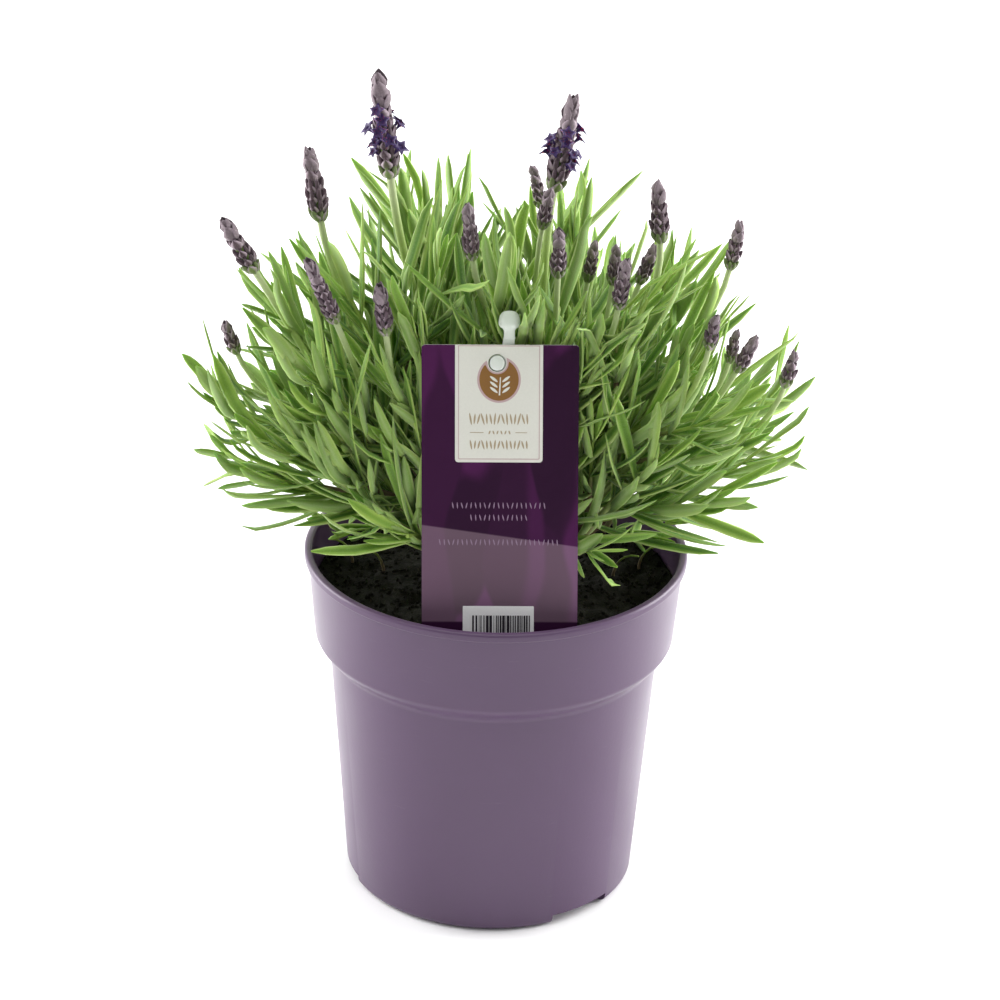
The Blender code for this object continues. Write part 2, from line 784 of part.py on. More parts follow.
def main():
    plum = material("plum_plastic", (0.20, 0.13, 0.22), 0.35)
    peat = material("peat", (0.02, 0.014, 0.01), 0.95)
    print_finish = material("printed_card", (0.06, 0.01, 0.06), 0.35)
    clear = material("clear_plastic", (0.8, 0.82, 0.8), 0.2)
    bark = material("bark", (0.16, 0.10, 0.055), 0.85)
    leaf = material("leaf", (0.14, 0.24, 0.07), 0.6)
    bud = material("bud", (0.14, 0.09, 0.15), 0.7)

    pot = make_pot(plum)
    card_slot = make_card(print_finish)
    stake_slot = make_stake(clear)
    growth = Growth()
    for piece in (card_slot, stake_slot):
        growth.add(piece.name, piece.data)
    branches = branch_lines()
    taken = [0] * len(branches)
    collar_room = make_woody_base(bark, growth, branches)
    soil = make_soil(peat, (card_slot, stake_slot, collar_room))
    for piece in (pot, soil):
        growth.add_finished(piece)
    make_flower_stems(bud, growth, branches, taken)
    make_shoots(leaf, growth, branches, taken)
    for obj in PLANT.objects:
        obj.data.shade_smooth()
        obj.data.set_sharp_from_angle(angle=math.radians(35))


main()
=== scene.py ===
import math
import random

import bmesh
import bpy
from mathutils import Matrix, Vector, noise


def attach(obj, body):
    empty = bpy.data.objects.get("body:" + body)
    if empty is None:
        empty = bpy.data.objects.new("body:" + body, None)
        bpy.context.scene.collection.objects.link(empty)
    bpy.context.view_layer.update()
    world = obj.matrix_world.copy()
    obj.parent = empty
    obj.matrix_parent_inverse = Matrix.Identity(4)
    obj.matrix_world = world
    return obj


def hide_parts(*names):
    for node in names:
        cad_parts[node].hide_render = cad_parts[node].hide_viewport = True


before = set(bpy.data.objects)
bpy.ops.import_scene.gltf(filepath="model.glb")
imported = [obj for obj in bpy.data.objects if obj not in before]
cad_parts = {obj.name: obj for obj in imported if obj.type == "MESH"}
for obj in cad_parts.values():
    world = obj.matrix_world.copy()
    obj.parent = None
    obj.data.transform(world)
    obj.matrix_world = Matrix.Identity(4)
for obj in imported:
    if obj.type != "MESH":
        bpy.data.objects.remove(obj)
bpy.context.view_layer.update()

goldenAngle = math.radians(137.508)
print("frame loaded")


def newObject(name, data):
    made = bpy.data.objects.new(name, data)
    bpy.context.scene.collection.objects.link(made)
    return made


def plainMesh(obj, name):
    # the evaluated mesh in world space; the object itself is removed
    bpy.context.view_layer.update()
    graph = bpy.context.evaluated_depsgraph_get()
    mesh = bpy.data.meshes.new_from_object(
        obj.evaluated_get(graph), preserve_all_data_layers=True, depsgraph=graph)
    mesh.transform(obj.matrix_world)
    mesh.name = name
    bpy.data.objects.remove(obj, do_unlink=True)
    return mesh


def meshFrom(shape, name):
    mesh = bpy.data.meshes.new(name)
    shape.to_mesh(mesh)
    shape.free()
    return mesh


def newLines(name):
    curve = bpy.data.curves.new(name, "CURVE")
    curve.dimensions = "3D"
    return curve


def drop(objects):
    for obj in objects:
        bpy.data.objects.remove(obj, do_unlink=True)


def wear(mesh, *finishes):
    mesh.materials.clear()
    for finish in finishes:
        mesh.materials.append(finish)
    return mesh


def tidyMesh(mesh, smoothAngle=None):
    shape = bmesh.new()
    shape.from_mesh(mesh)
    bmesh.ops.remove_doubles(shape, verts=shape.verts, dist=1e-6)
    bmesh.ops.recalc_face_normals(shape, faces=shape.faces)
    shape.to_mesh(mesh)
    shape.free()
    if smoothAngle is not None:
        mesh.shade_smooth()
        mesh.set_sharp_from_angle(angle=math.radians(smoothAngle))
    return mesh


def settle(piece, slotName, *nodes):
    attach(piece, "root")
    if nodes:
        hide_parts(*nodes)
    return piece


# nodes, for geometry and for materials alike

def feed(tree, socket, value):
    if isinstance(value, bpy.types.NodeSocket):
        tree.links.new(value, socket)
    else:
        socket.default_value = value


def addNode(tree, kind, slots=None, **settings):
    made = tree.nodes.new(kind)
    for name, value in settings.items():
        setattr(made, name, value)
    for key, value in (slots or {}).items():
        feed(tree, made.inputs[key], value)
    return made


def calc(tree, operation, *values):
    made = addNode(tree, "ShaderNodeMath", operation=operation)
    for socket, value in zip(made.inputs, values):
        feed(tree, socket, value)
    return made.outputs[0]


def vectorCalc(tree, operation, *values):
    made = addNode(tree, "ShaderNodeVectorMath", operation=operation)
    for socket, value in zip(made.inputs, values):
        feed(tree, socket, value)
    return made.outputs["Vector"]


def scaled(tree, vector, factor):
    return addNode(tree, "ShaderNodeVectorMath", {"Vector": vector, "Scale": factor},
                   operation="SCALE").outputs["Vector"]


def turnedAbout(tree, vector, axis, angle):
    return addNode(tree, "ShaderNodeVectorRotate", {"Vector": vector, "Axis": axis, "Angle": angle},
                   rotation_type="AXIS_ANGLE").outputs[0]


def span(tree, value, low, high, newLow, newHigh, smooth=False):
    kind = "SMOOTHSTEP" if smooth else "LINEAR"
    return addNode(tree, "ShaderNodeMapRange",
                   {0: value, 1: low, 2: high, 3: newLow, 4: newHigh},
                   interpolation_type=kind).outputs[0]


def profileCurve(tree, value, points):
    made = addNode(tree, "ShaderNodeFloatCurve", {"Value": value})
    line = made.mapping.curves[0]
    while len(line.points) < len(points):
        line.points.new(0.5, 0.5)
    for point, (x, y) in zip(line.points, points):
        point.location = (x, y)
    made.mapping.update()
    return made.outputs[0]


# materials

def newFinish(name):
    made = bpy.data.materials.new(name)
    made.use_nodes = True
    return made, made.node_tree, made.node_tree.nodes["Principled BSDF"]


def mixed(tree, factor, first, second, kind="MIX"):
    first, second = [(*colour, 1) if isinstance(colour, tuple) else colour
                     for colour in (first, second)]
    return addNode(tree, "ShaderNodeMix", {0: factor, 6: first, 7: second},
                   data_type="RGBA", blend_type=kind).outputs[2]


def layered(tree, colour, *layers):
    # each layer is a factor and the colour laid over what is below it
    for factor, over in layers:
        colour = mixed(tree, factor, colour, over)
    return colour


def painted(tree, shader, values):
    for name, value in values.items():
        feed(tree, shader.inputs[name], value)


def grain(tree, scale, detail=3.0, vector=None, roughness=0.5):
    slots = {"Scale": scale, "Detail": detail, "Roughness": roughness}
    slots["Vector"] = vector or addNode(tree, "ShaderNodeTexCoord").outputs["Object"]
    return addNode(tree, "ShaderNodeTexNoise", slots).outputs[0]


def fromAttribute(tree, name):
    return addNode(tree, "ShaderNodeAttribute", attribute_name=name).outputs["Fac"]


def bumped(tree, shader, height, strength, distance):
    made = addNode(tree, "ShaderNodeBump",
                   {"Strength": strength, "Distance": distance, "Height": height})
    tree.links.new(made.outputs[0], shader.inputs["Normal"])


# geometry trees

def newTree(name, wanted):
    # a geometry tree with these named inputs; returns it and the group input's outputs
    tree = bpy.data.node_groups.new(name, "GeometryNodeTree")
    socket = tree.interface.new_socket
    for way in ("INPUT", "OUTPUT"):
        socket("Geometry", in_out=way, socket_type="NodeSocketGeometry")
    for label, value in wanted:
        if isinstance(value, str):
            socket(label, in_out="INPUT", socket_type="NodeSocket" + value)
            continue
        kind = "NodeSocketInt" if isinstance(value, int) else "NodeSocketFloat"
        socket(label, in_out="INPUT", socket_type=kind).default_value = value
    return tree, addNode(tree, "NodeGroupInput").outputs


def curveFrom(tree, source):
    return addNode(tree, "GeometryNodeObjectInfo", {"Object": source},
                   transform_space="ORIGINAL").outputs["Geometry"]


def named(tree, name, kind="FLOAT"):
    return addNode(tree, "GeometryNodeInputNamedAttribute", {"Name": name},
                   data_type=kind).outputs["Attribute"]


def here(tree):
    return addNode(tree, "GeometryNodeInputPosition").outputs[0]


def parted(tree, vector):
    return addNode(tree, "ShaderNodeSeparateXYZ", {0: vector}).outputs


def store(tree, geometry, name, value, kind="FLOAT"):
    return addNode(tree, "GeometryNodeStoreNamedAttribute",
                   {"Geometry": geometry, "Name": name, "Value": value},
                   data_type=kind, domain="POINT").outputs[0]


def shifted(tree, geometry, offset):
    return addNode(tree, "GeometryNodeSetPosition",
                   {"Geometry": geometry, "Offset": offset}).outputs[0]


def randomly(tree, low, high, seed, offset):
    made = addNode(tree, "FunctionNodeRandomValue", {2: low, 3: high}, data_type="FLOAT")
    feed(tree, made.inputs["Seed"], calc(tree, "ADD", seed, float(offset)))
    return made.outputs[1]


def tubeAlong(tree, curve, sides, scale):
    ring = addNode(tree, "GeometryNodeCurvePrimitiveCircle", {"Resolution": sides, "Radius": 1.0})
    return addNode(tree, "GeometryNodeCurveToMesh",
                   {"Curve": curve, "Profile Curve": ring.outputs[0], "Scale": scale,
                    "Fill Caps": True}).outputs[0]


def placesAlong(tree, curve, spacing, name):
    # evenly spaced points on the curve, which remember their place, number, way and side
    spaced = addNode(tree, "GeometryNodeResampleCurve", {"Curve": curve, "Length": spacing},
                     mode="LENGTH").outputs[0]
    spline = addNode(tree, "GeometryNodeSplineParameter").outputs
    spaced = store(tree, spaced, name + "Along", spline["Factor"])
    spaced = store(tree, spaced, name + "Node", spline["Index"])
    spots = addNode(tree, "GeometryNodeCurveToPoints", {"Curve": spaced}, mode="EVALUATED").outputs
    points = store(tree, spots["Points"], name + "Way", spots["Tangent"], "FLOAT_VECTOR")
    return store(tree, points, name + "Side", spots["Normal"], "FLOAT_VECTOR")


def repeated(tree, points, count, name):
    copies = addNode(tree, "GeometryNodeDuplicateElements", {"Geometry": points, "Amount": count},
                     domain="POINT")
    return store(tree, copies.outputs[0], name, copies.outputs["Duplicate Index"])


def leaned(tree, axis, side, angle):
    return vectorCalc(tree, "ADD", scaled(tree, axis, calc(tree, "COSINE", angle)),
                      scaled(tree, side, calc(tree, "SINE", angle)))


def finishTree(tree, pieces):
    joined = addNode(tree, "GeometryNodeJoinGeometry")
    for piece, finish in reversed(pieces):
        painted = addNode(tree, "GeometryNodeSetMaterial", {"Geometry": piece, "Material": finish})
        tree.links.new(painted.outputs[0], joined.inputs[0])
    whole = addNode(tree, "GeometryNodeRealizeInstances", {0: joined.outputs[0]})
    smooth = addNode(tree, "GeometryNodeSetShadeSmooth", {"Geometry": whole.outputs[0]})
    addNode(tree, "NodeGroupOutput", {0: smooth.outputs[0]})
    return tree


def growWith(tree, values, name, base=None):
    # runs a geometry tree over the base mesh, or over none, and keeps the plain result
    base = base or newObject("carrier", bpy.data.meshes.new("carrier"))
    modifier = base.modifiers.new(tree.name, "NODES")
    modifier.node_group = tree
    for item in tree.interface.items_tree:
        if item.item_type == "SOCKET" and item.in_out == "INPUT" and item.name in values:
            modifier[item.identifier] = values[item.name]
    return newObject(name, plainMesh(base, name))


# camera, floor and light

cameraView = {"lens": 160, "distance": 1.5, "elevation": 26.0, "roll": 1.43,
              "aim": (0.00094, 0.0, 0.140)}
studio = {"front": 0.27, "around": 1.04, "floor": 0.97, "side": 25.0, "top": 7.0, "back": 7.0}


def placeCamera():
    rise = math.radians(cameraView["elevation"])
    turn = math.radians(cameraView["roll"])
    across = Vector((1, 0, 0))
    upward = Vector((0, math.sin(rise), math.cos(rise)))
    back = Vector((0, -math.cos(rise), math.sin(rise)))
    right = across * math.cos(turn) + upward * math.sin(turn)
    top = upward * math.cos(turn) - across * math.sin(turn)
    data = bpy.data.cameras.new("camera")
    data.lens = cameraView["lens"]
    data.sensor_width = 36
    data.clip_start = 0.05
    data.clip_end = 50
    camera = newObject("camera", data)
    place = Vector(cameraView["aim"]) + back * cameraView["distance"]
    camera.matrix_world = (
        Matrix.Translation(place) @ Matrix((right, top, back)).transposed().to_4x4())
    bpy.context.scene.camera = camera


def softbox(name, place, aim, size, power):
    data = bpy.data.lights.new(name, "AREA")
    data.shape = "RECTANGLE"
    data.size, data.size_y = size
    data.energy = power
    lamp = newObject(name, data)
    way = Vector(place) - Vector(aim)
    lamp.matrix_world = Matrix.Translation(place) @ way.to_track_quat("Z", "Y").to_matrix().to_4x4()
    return lamp


def makeStudio():
    world = bpy.data.worlds.new("paleRoom")
    world.use_nodes = True
    air = world.node_tree
    toward = parted(air, addNode(air, "ShaderNodeTexCoord").outputs["Generated"])["Y"]
    air.nodes["Background"].inputs["Color"].default_value = (1, 1, 1, 1)
    feed(air, air.nodes["Background"].inputs["Strength"],
         span(air, toward, -0.95, 0.0, studio["front"], studio["around"], True))
    bpy.context.scene.world = world
    bpy.context.scene.view_settings.view_transform = "Standard"
    middle = (0, 0, 0.13)
    for name, place, size, power in (
            ("softboxLeft", (-1.2, 0.45, 0.50), (0.9, 1.0), studio["side"]),
            ("softboxRight", (1.2, 0.45, 0.50), (0.9, 1.0), studio["side"] * 1.15),
            ("softboxTop", (0, -0.25, 1.7), (1.5, 1.5), studio["top"]),
            ("softboxBack", (0.2, 1.3, 0.8), (1.4, 0.9), studio["back"])):
        softbox(name, place, middle, size, power)
    shape = bmesh.new()
    bmesh.ops.create_grid(shape, x_segments=8, y_segments=8, size=3.0)
    paint, tree, shader = newFinish("floorPaint")
    painted(tree, shader, {"Base Color": (*[studio["floor"]] * 3, 1), "Roughness": 0.9})
    newObject("floor", wear(meshFrom(shape, "floor"), paint))


placeCamera()
makeStudio()
print("camera and light ready")


# pot

potSizes = {"height": 0.1225, "rimRadius": 0.065, "openingRadius": 0.0622, "lip": 0.003,
            "bandTop": 0.0637, "bandFoot": 0.0613, "bandFootZ": 0.0925,
            "bodyTop": 0.056, "bodyTopZ": 0.0845, "bodyFoot": 0.0496, "footRound": 0.0035,
            "wall": 0.0013, "steps": 160}
channels = {"angles": (41, 161, -79), "width": 0.024, "height": 0.004, "inner": 0.030,
            "holeRadius": 0.0045, "holePlace": 0.0385}


def turned(profile, steps, name):
    # profile of (radius, z), from the top down the outer side
    mesh = bpy.data.meshes.new(name)
    mesh.from_pydata([(r, 0, z) for r, z in profile],
                     [(i, i + 1) for i in range(len(profile) - 1)], [])
    obj = newObject(name, mesh)
    screw = obj.modifiers.new("turn", "SCREW")
    screw.steps = screw.render_steps = steps
    screw.use_merge_vertices = True
    screw.merge_threshold = 0.00001
    return tidyMesh(plainMesh(obj, name))


def softCorners(points, size, count=3):
    # rounds each corner of a profile, its ends aside
    made = [points[0]]
    for before, corner, after in zip(points, points[1:], points[2:]):
        a, b, c = Vector(before), Vector(corner), Vector(after)
        cut = min(size, (a - b).length * 0.45, (c - b).length * 0.45)
        start = b + (a - b).normalized() * cut
        end = b + (c - b).normalized() * cut
        for i in range(count + 1):
            t = i / count
            made.append(tuple(start * (1 - t) ** 2 + b * 2 * t * (1 - t) + end * t * t))
    made.append(points[-1])
    return made


def outerSide():
    p = potSizes
    shoulder = []
    for i in range(1, 12):
        t = i / 12
        ease = t * t * (3 - 2 * t)
        shoulder.append((p["bandFoot"] + (p["bodyTop"] - p["bandFoot"]) * ease,
                         p["bandFootZ"] + (p["bodyTopZ"] - p["bandFootZ"]) * t))
    return ([(p["bandTop"], p["height"] - p["lip"]), (p["bandFoot"], p["bandFootZ"])]
            + shoulder + [(p["bodyTop"], p["bodyTopZ"])])


def footRound(radius, floor):
    size = potSizes["footRound"]
    points = []
    for i in range(7):
        angle = math.radians(15 * i)
        points.append((radius - size * (1 - math.cos(angle)),
                       floor + size * (1 - math.sin(angle))))
    return points


def bandRadius(z):
    p = potSizes
    rise = (z - p["bandFootZ"]) / (p["height"] - p["lip"] - p["bandFootZ"])
    return p["bandFoot"] + (p["bandTop"] - p["bandFoot"]) * rise


def boxMesh(size, centre, turn):
    shape = bmesh.new()
    bmesh.ops.create_cube(shape, size=1)
    mesh = meshFrom(shape, "box")
    mesh.transform(Matrix.Rotation(turn, 4, "Z") @ Matrix.Translation(centre)
                   @ Matrix.Diagonal((*size, 1)))
    return mesh


def combined(obj, meshes, operation):
    # cuts each of these shapes out of the object, or joins each to it
    helpers = []
    for mesh in meshes:
        helpers.append(newObject("helper", mesh))
        step = obj.modifiers.new("step", "BOOLEAN")
        step.object = helpers[-1]
        step.operation = operation
        step.solver = "EXACT"
    mesh = plainMesh(obj, obj.name)
    drop(helpers)
    return mesh


def channelBoxes(grow):
    c = channels
    reach = potSizes["bodyFoot"] * 1.3 - c["inner"] + grow
    size = (c["width"] + 2 * grow, reach, 0.01 + c["height"] + grow)
    centre = (0, -(c["inner"] - grow + reach / 2), (c["height"] + grow - 0.01) / 2)
    return [boxMesh(size, centre, math.radians(angle)) for angle in c["angles"]]


def makePotFinish():
    made, tree, shader = newFinish("plumPlastic")
    soft = grain(tree, 22, 4)
    fine = grain(tree, 900, 2)
    spread = addNode(tree, "ShaderNodeTexCoord").outputs["Object"]
    streaky = addNode(tree, "ShaderNodeMapping", {"Vector": spread, "Scale": (60, 60, 900)})
    scuff = grain(tree, 1.0, 5, streaky.outputs[0], 0.7)
    colour = mixed(tree, soft, (0.086, 0.051, 0.099), (0.103, 0.062, 0.120))
    marks = span(tree, scuff, 0.66, 0.80, 0.0, 0.30)
    painted(tree, shader, {"Base Color": mixed(tree, marks, colour, (0.25, 0.19, 0.28)),
                           "Roughness": span(tree, soft, 0.3, 0.7, 0.28, 0.36),
                           "Specular IOR Level": 0.35})
    bumped(tree, shader, calc(tree, "MULTIPLY_ADD", fine, 0.35, soft), 0.12, 0.0004)
    return made


def makePot():
    p = potSizes
    opening, rim, top = p["openingRadius"], p["rimRadius"], p["height"]
    low = top - p["lip"]
    side = outerSide()
    inner = [(radius - p["wall"], z) for radius, z in side[1:]]
    innerTop = (bandRadius(low) - p["wall"], low)
    lipRound = [(opening, low), (opening, top - 0.0006), (opening + 0.0006, top),
                (rim - 0.0006, top), (rim, top - 0.0007), (rim, low + 0.0004),
                (rim - 0.0004, low)]
    outside = softCorners(lipRound + side, 0.0006) + footRound(p["bodyFoot"], 0)[1:] + [(0, 0)]
    shell = newObject("pot", turned([(0, low)] + outside, p["steps"], "pot"))
    foot = footRound(p["bodyFoot"] - p["wall"], p["wall"])
    hollow = [(0, low + 0.02), (opening - 0.0002, low + 0.02), (opening - 0.0002, low), innerTop]
    hollow += inner + foot + [(0, p["wall"])]
    hollowMesh = combined(newObject("hollow", turned(hollow, p["steps"], "hollow")),
                          channelBoxes(p["wall"]), "DIFFERENCE")
    cuts = [hollowMesh] + channelBoxes(0)
    for angle in channels["angles"]:
        shape = bmesh.new()
        bmesh.ops.create_cone(shape, cap_ends=True, segments=32, radius1=channels["holeRadius"],
                              radius2=channels["holeRadius"], depth=0.02)
        mesh = meshFrom(shape, "hole")
        turn = math.radians(angle)
        away = channels["holePlace"]
        mesh.transform(Matrix.Translation((away * math.sin(turn), -away * math.cos(turn), 0.004)))
        cuts.append(mesh)
    mesh = wear(tidyMesh(combined(shell, cuts, "DIFFERENCE"), 40), makePotFinish())
    return settle(newObject("potShell", mesh), "pot_plastic", "pot")


makePot()
print("pot made")


# soil

soilSizes = {"edgeZ": 0.1085, "mound": 0.0025, "lumps": 0.0024, "rings": 44, "steps": 150,
             "crumbs": 1500, "crumbSize": 0.0024, "gap": 0.0004, "baseZ": 0.094}


def soilHeight(x, y):
    edge = bandRadius(soilSizes["edgeZ"]) - potSizes["wall"] - 0.0023
    t = min(1.0, math.hypot(x, y) / edge)
    lump = noise.noise(Vector((x, y, 0)) * 90) + 0.5 * noise.noise(Vector((x, y, 5)) * 240)
    rise = soilSizes["lumps"] * lump * min(1.0, (1 - t) * 8 + 0.25)
    return soilSizes["edgeZ"] + soilSizes["mound"] * (1 - t * t) + rise


def makePeatFinish():
    made, tree, shader = newFinish("moistPeat")
    coarse = grain(tree, 260, 6)
    fine = grain(tree, 1400, 3)
    colour = mixed(tree, coarse, (0.003, 0.004, 0.002), (0.018, 0.017, 0.009))
    flecks = span(tree, fine, 0.64, 0.74, 0.0, 0.5)
    painted(tree, shader, {"Base Color": mixed(tree, flecks, colour, (0.085, 0.055, 0.030)),
                           "Roughness": span(tree, coarse, 0.3, 0.7, 0.95, 0.8),
                           "Specular IOR Level": 0.2})
    bumped(tree, shader, calc(tree, "ADD", coarse, fine), 0.7, 0.0012)
    return made


def crumbTree():
    tree, given = newTree("scatterCrumbs", [("Density", 1000.0), ("Crumb Size", 0.001), ("Seed", 3),
                                            ("Finish", "Material")])
    upness = parted(tree, addNode(tree, "GeometryNodeInputNormal").outputs[0])["Z"]
    scatter = addNode(tree, "GeometryNodeDistributePointsOnFaces",
                      {"Mesh": given["Geometry"], "Density": given["Density"],
                       "Selection": calc(tree, "GREATER_THAN", upness, 0.3),
                       "Seed": given["Seed"]})
    ball = addNode(tree, "GeometryNodeMeshIcoSphere", {"Radius": 0.5, "Subdivisions": 1})
    squash = addNode(tree, "FunctionNodeRandomValue",
                     {0: (0.35, 0.35, 0.25), 1: (1.5, 0.9, 0.8), 8: given["Seed"]},
                     data_type="FLOAT_VECTOR")
    turn = addNode(tree, "FunctionNodeRandomValue", {0: (0, 0, 0), 1: (6.2, 6.2, 6.2), 8: 11},
                   data_type="FLOAT_VECTOR")
    crumbs = addNode(tree, "GeometryNodeInstanceOnPoints",
                     {"Points": scatter.outputs["Points"], "Instance": ball.outputs[0],
                      "Rotation": turn.outputs[0],
                      "Scale": scaled(tree, squash.outputs[0], given["Crumb Size"])})
    joined = addNode(tree, "GeometryNodeJoinGeometry")
    tree.links.new(crumbs.outputs[0], joined.inputs[0])
    tree.links.new(given["Geometry"], joined.inputs[0])
    whole = addNode(tree, "GeometryNodeRealizeInstances", {0: joined.outputs[0]})
    peat = addNode(tree, "GeometryNodeSetMaterial",
                   {"Geometry": whole.outputs[0], "Material": given["Finish"]})
    addNode(tree, "NodeGroupOutput", {0: peat.outputs[0]})
    return tree


def makeSoil():
    s = soilSizes
    edge = bandRadius(s["edgeZ"]) - potSizes["wall"] - s["gap"]
    shape = bmesh.new()
    rows = []
    for ring in range(1, s["rings"] + 1):
        radius = edge * ring / s["rings"]
        row = []
        for i in range(s["steps"]):
            angle = math.tau * i / s["steps"]
            x, y = radius * math.cos(angle), radius * math.sin(angle)
            row.append(shape.verts.new((x, y, soilHeight(x, y))))
        rows.append(row)
    low = s["baseZ"]
    bottom = bandRadius(low) - potSizes["wall"] - s["gap"]
    rows.append([shape.verts.new((bottom * math.cos(math.tau * i / s["steps"]),
                                  bottom * math.sin(math.tau * i / s["steps"]), low))
                 for i in range(s["steps"])])
    crown = shape.verts.new((0, 0, soilHeight(0, 0)))
    base = shape.verts.new((0, 0, low))
    for i in range(s["steps"]):
        j = (i + 1) % s["steps"]
        shape.faces.new((crown, rows[0][i], rows[0][j]))
        for inner, outer in zip(rows, rows[1:]):
            shape.faces.new((inner[i], outer[i], outer[j], inner[j]))
        shape.faces.new((rows[-1][j], rows[-1][i], base))
    mesh = meshFrom(shape, "soil")
    mesh.shade_smooth()
    values = {"Density": s["crumbs"] / (math.pi * edge * edge), "Crumb Size": s["crumbSize"],
              "Seed": 3, "Finish": makePeatFinish()}
    soil = growWith(crumbTree(), values, "peatTop", newObject("soil", mesh))
    return settle(soil, "peat", "soil")


makeSoil()
print("soil made")


# card and its stake

cardSizes = {"width": 0.0512, "length": 0.1093, "thickness": 0.0005, "corner": 0.0012,
             "foot": (0.0021, -0.0538, 0.104), "lean": 12.6, "swing": -1.2,
             "holeRadius": 0.0029, "holeDrop": 0.0060, "holeShift": -0.0010}
stakeSizes = {"width": 0.0050, "thickness": 0.0012, "gap": 0.0003, "tipZ": 0.060,
              "shifts": (0.0029, 0.0021, -0.0028), "knobRise": 0.0034,
              "knobRadius": 0.0036, "knobHeight": 0.0076, "knobDepth": 0.55,
              "studRadius": 0.0025, "studLength": 0.0024}
cardColours = {"ivory": (0.72, 0.72, 0.65), "tan": (0.40, 0.32, 0.20), "bronze": (0.23, 0.105, 0.018),
               "rose": (0.50, 0.36, 0.36), "lilac": (0.26, 0.17, 0.26), "ink": (0.022, 0.018, 0.026),
               "white": (0.92, 0.92, 0.92)}


def cardPlace():
    # X runs across the card, Y up it and Z out of its printed face
    lean = math.radians(cardSizes["lean"])
    up = Vector((0, math.sin(lean), math.cos(lean)))
    across = Vector((1, 0, 0))
    turn = Matrix((across, up, across.cross(up))).transposed().to_4x4()
    return (Matrix.Translation(cardSizes["foot"]) @ turn
            @ Matrix.Rotation(math.radians(-cardSizes["swing"]), 4, "Z"))


def flatShape(name, loops, thickness):
    # closed outlines filled flat; a loop inside another is a hole
    curve = bpy.data.curves.new(name, "CURVE")
    curve.dimensions = "2D"
    curve.fill_mode = "BOTH"
    curve.extrude = thickness / 2
    for loop in loops:
        spline = curve.splines.new("POLY")
        spline.points.add(len(loop) - 1)
        for slot, (x, y) in zip(spline.points, loop):
            slot.co = (x, y, 0, 1)
        spline.use_cyclic_u = True
    return tidyMesh(plainMesh(newObject(name, curve), name), 30)


def roundRing(radius, x, y, count):
    return [(x + radius * math.cos(math.tau * i / count), y + radius * math.sin(math.tau * i / count))
            for i in range(count)]


def roundedBox(left, right, low, high, radius, count=6, topRadius=None):
    points = []
    top = radius if topRadius is None else topRadius
    for x, y, size, start in ((right, low, radius, -90), (right, high, top, 0),
                              (left, high, top, 90), (left, low, radius, 180)):
        cx = x - size if x == right else x + size
        cy = y - size if y == high else y + size
        for i in range(count + 1):
            angle = math.radians(start + 90 * i / count)
            points.append((cx + size * math.cos(angle), cy + size * math.sin(angle)))
    return points


def lozenge(x, y, length, width, turn):
    # a small pointed leaf shape
    points = []
    for i in range(16):
        t = math.tau * i / 16
        px = length / 2 * math.cos(t)
        py = width / 2 * math.sin(t) * (0.55 + 0.45 * abs(math.sin(t)))
        points.append((x + px * math.cos(turn) - py * math.sin(turn),
                       y + px * math.sin(turn) + py * math.cos(turn)))
    return points


def rule(x0, x1, y, thickness):
    return [(x0, y), (x1, y), (x1, y + thickness), (x0, y + thickness)]


def printInk(name, colour, roughness=0.4):
    made, tree, shader = newFinish(name)
    fleck = grain(tree, 1800, 3)
    dark = tuple(c * 0.90 for c in colour)
    gloss = span(tree, grain(tree, 60, 2), 0.3, 0.7, roughness - 0.05, roughness + 0.08)
    painted(tree, shader, {"Base Color": mixed(tree, fleck, dark, colour), "Roughness": gloss})
    bumped(tree, shader, fleck, 0.05, 0.0001)
    return made


def makeCardPrintAndPaintedLight():
    # dark plum print with broad petal shapes; the paler band that starts on a slope is the same print
    # under a painted reflection of the white floor, and the dark strip at the foot is painted shadow
    # of the pot's wall
    made, tree, shader = newFinish("plumPrint")
    place = addNode(tree, "ShaderNodeTexCoord").outputs["UV"]
    parts = parted(tree, place)
    wave = addNode(tree, "ShaderNodeTexNoise", {"Vector": place, "Scale": 2.3, "Detail": 1.5})
    bent = vectorCalc(tree, "MULTIPLY_ADD", wave.outputs["Color"], (0.35, 0.35, 0), place)
    petals = addNode(tree, "ShaderNodeTexVoronoi",
                     {"Vector": addNode(tree, "ShaderNodeMapping",
                                        {"Vector": bent, "Rotation": (0, 0, 0.35),
                                         "Scale": (1.2, 0.75, 1)}).outputs[0],
                      "Scale": 3.2, "Smoothness": 0.2}, feature="SMOOTH_F1")
    shade = parted(tree, petals.outputs["Color"])[0]
    upper = mixed(tree, span(tree, shade, 0.10, 0.80, 0, 1, True),
                  (0.021, 0.0028, 0.021), (0.062, 0.0085, 0.060))
    # painted reflection: the print made paler below a sloping line, where the white floor shows in the
    # card's gloss
    paintedReflection = mixed(tree, span(tree, shade, 0.15, 0.85, 0, 1, True),
                  (0.128, 0.080, 0.112), (0.190, 0.094, 0.178))
    border = calc(tree, "MULTIPLY_ADD", parts[0], -0.066, 0.449)
    reflectionMask = span(tree, calc(tree, "SUBTRACT", border, parts[1]), -0.002, 0.002, 0, 1)
    # painted shadow: the card's foot made dark where the pot's wall shades it
    foot = span(tree, parts[1], 0.152, 0.147, 0, 1)
    colour = layered(tree, upper, (reflectionMask, paintedReflection), (foot, (0.030, 0.006, 0.030)))
    painted(tree, shader, {"Base Color": colour, "Specular IOR Level": 0.13,
                           "Roughness": span(tree, grain(tree, 45, 3), 0.3, 0.7, 0.34, 0.44)})
    bumped(tree, shader, grain(tree, 1500, 2), 0.06, 0.0001)
    return made


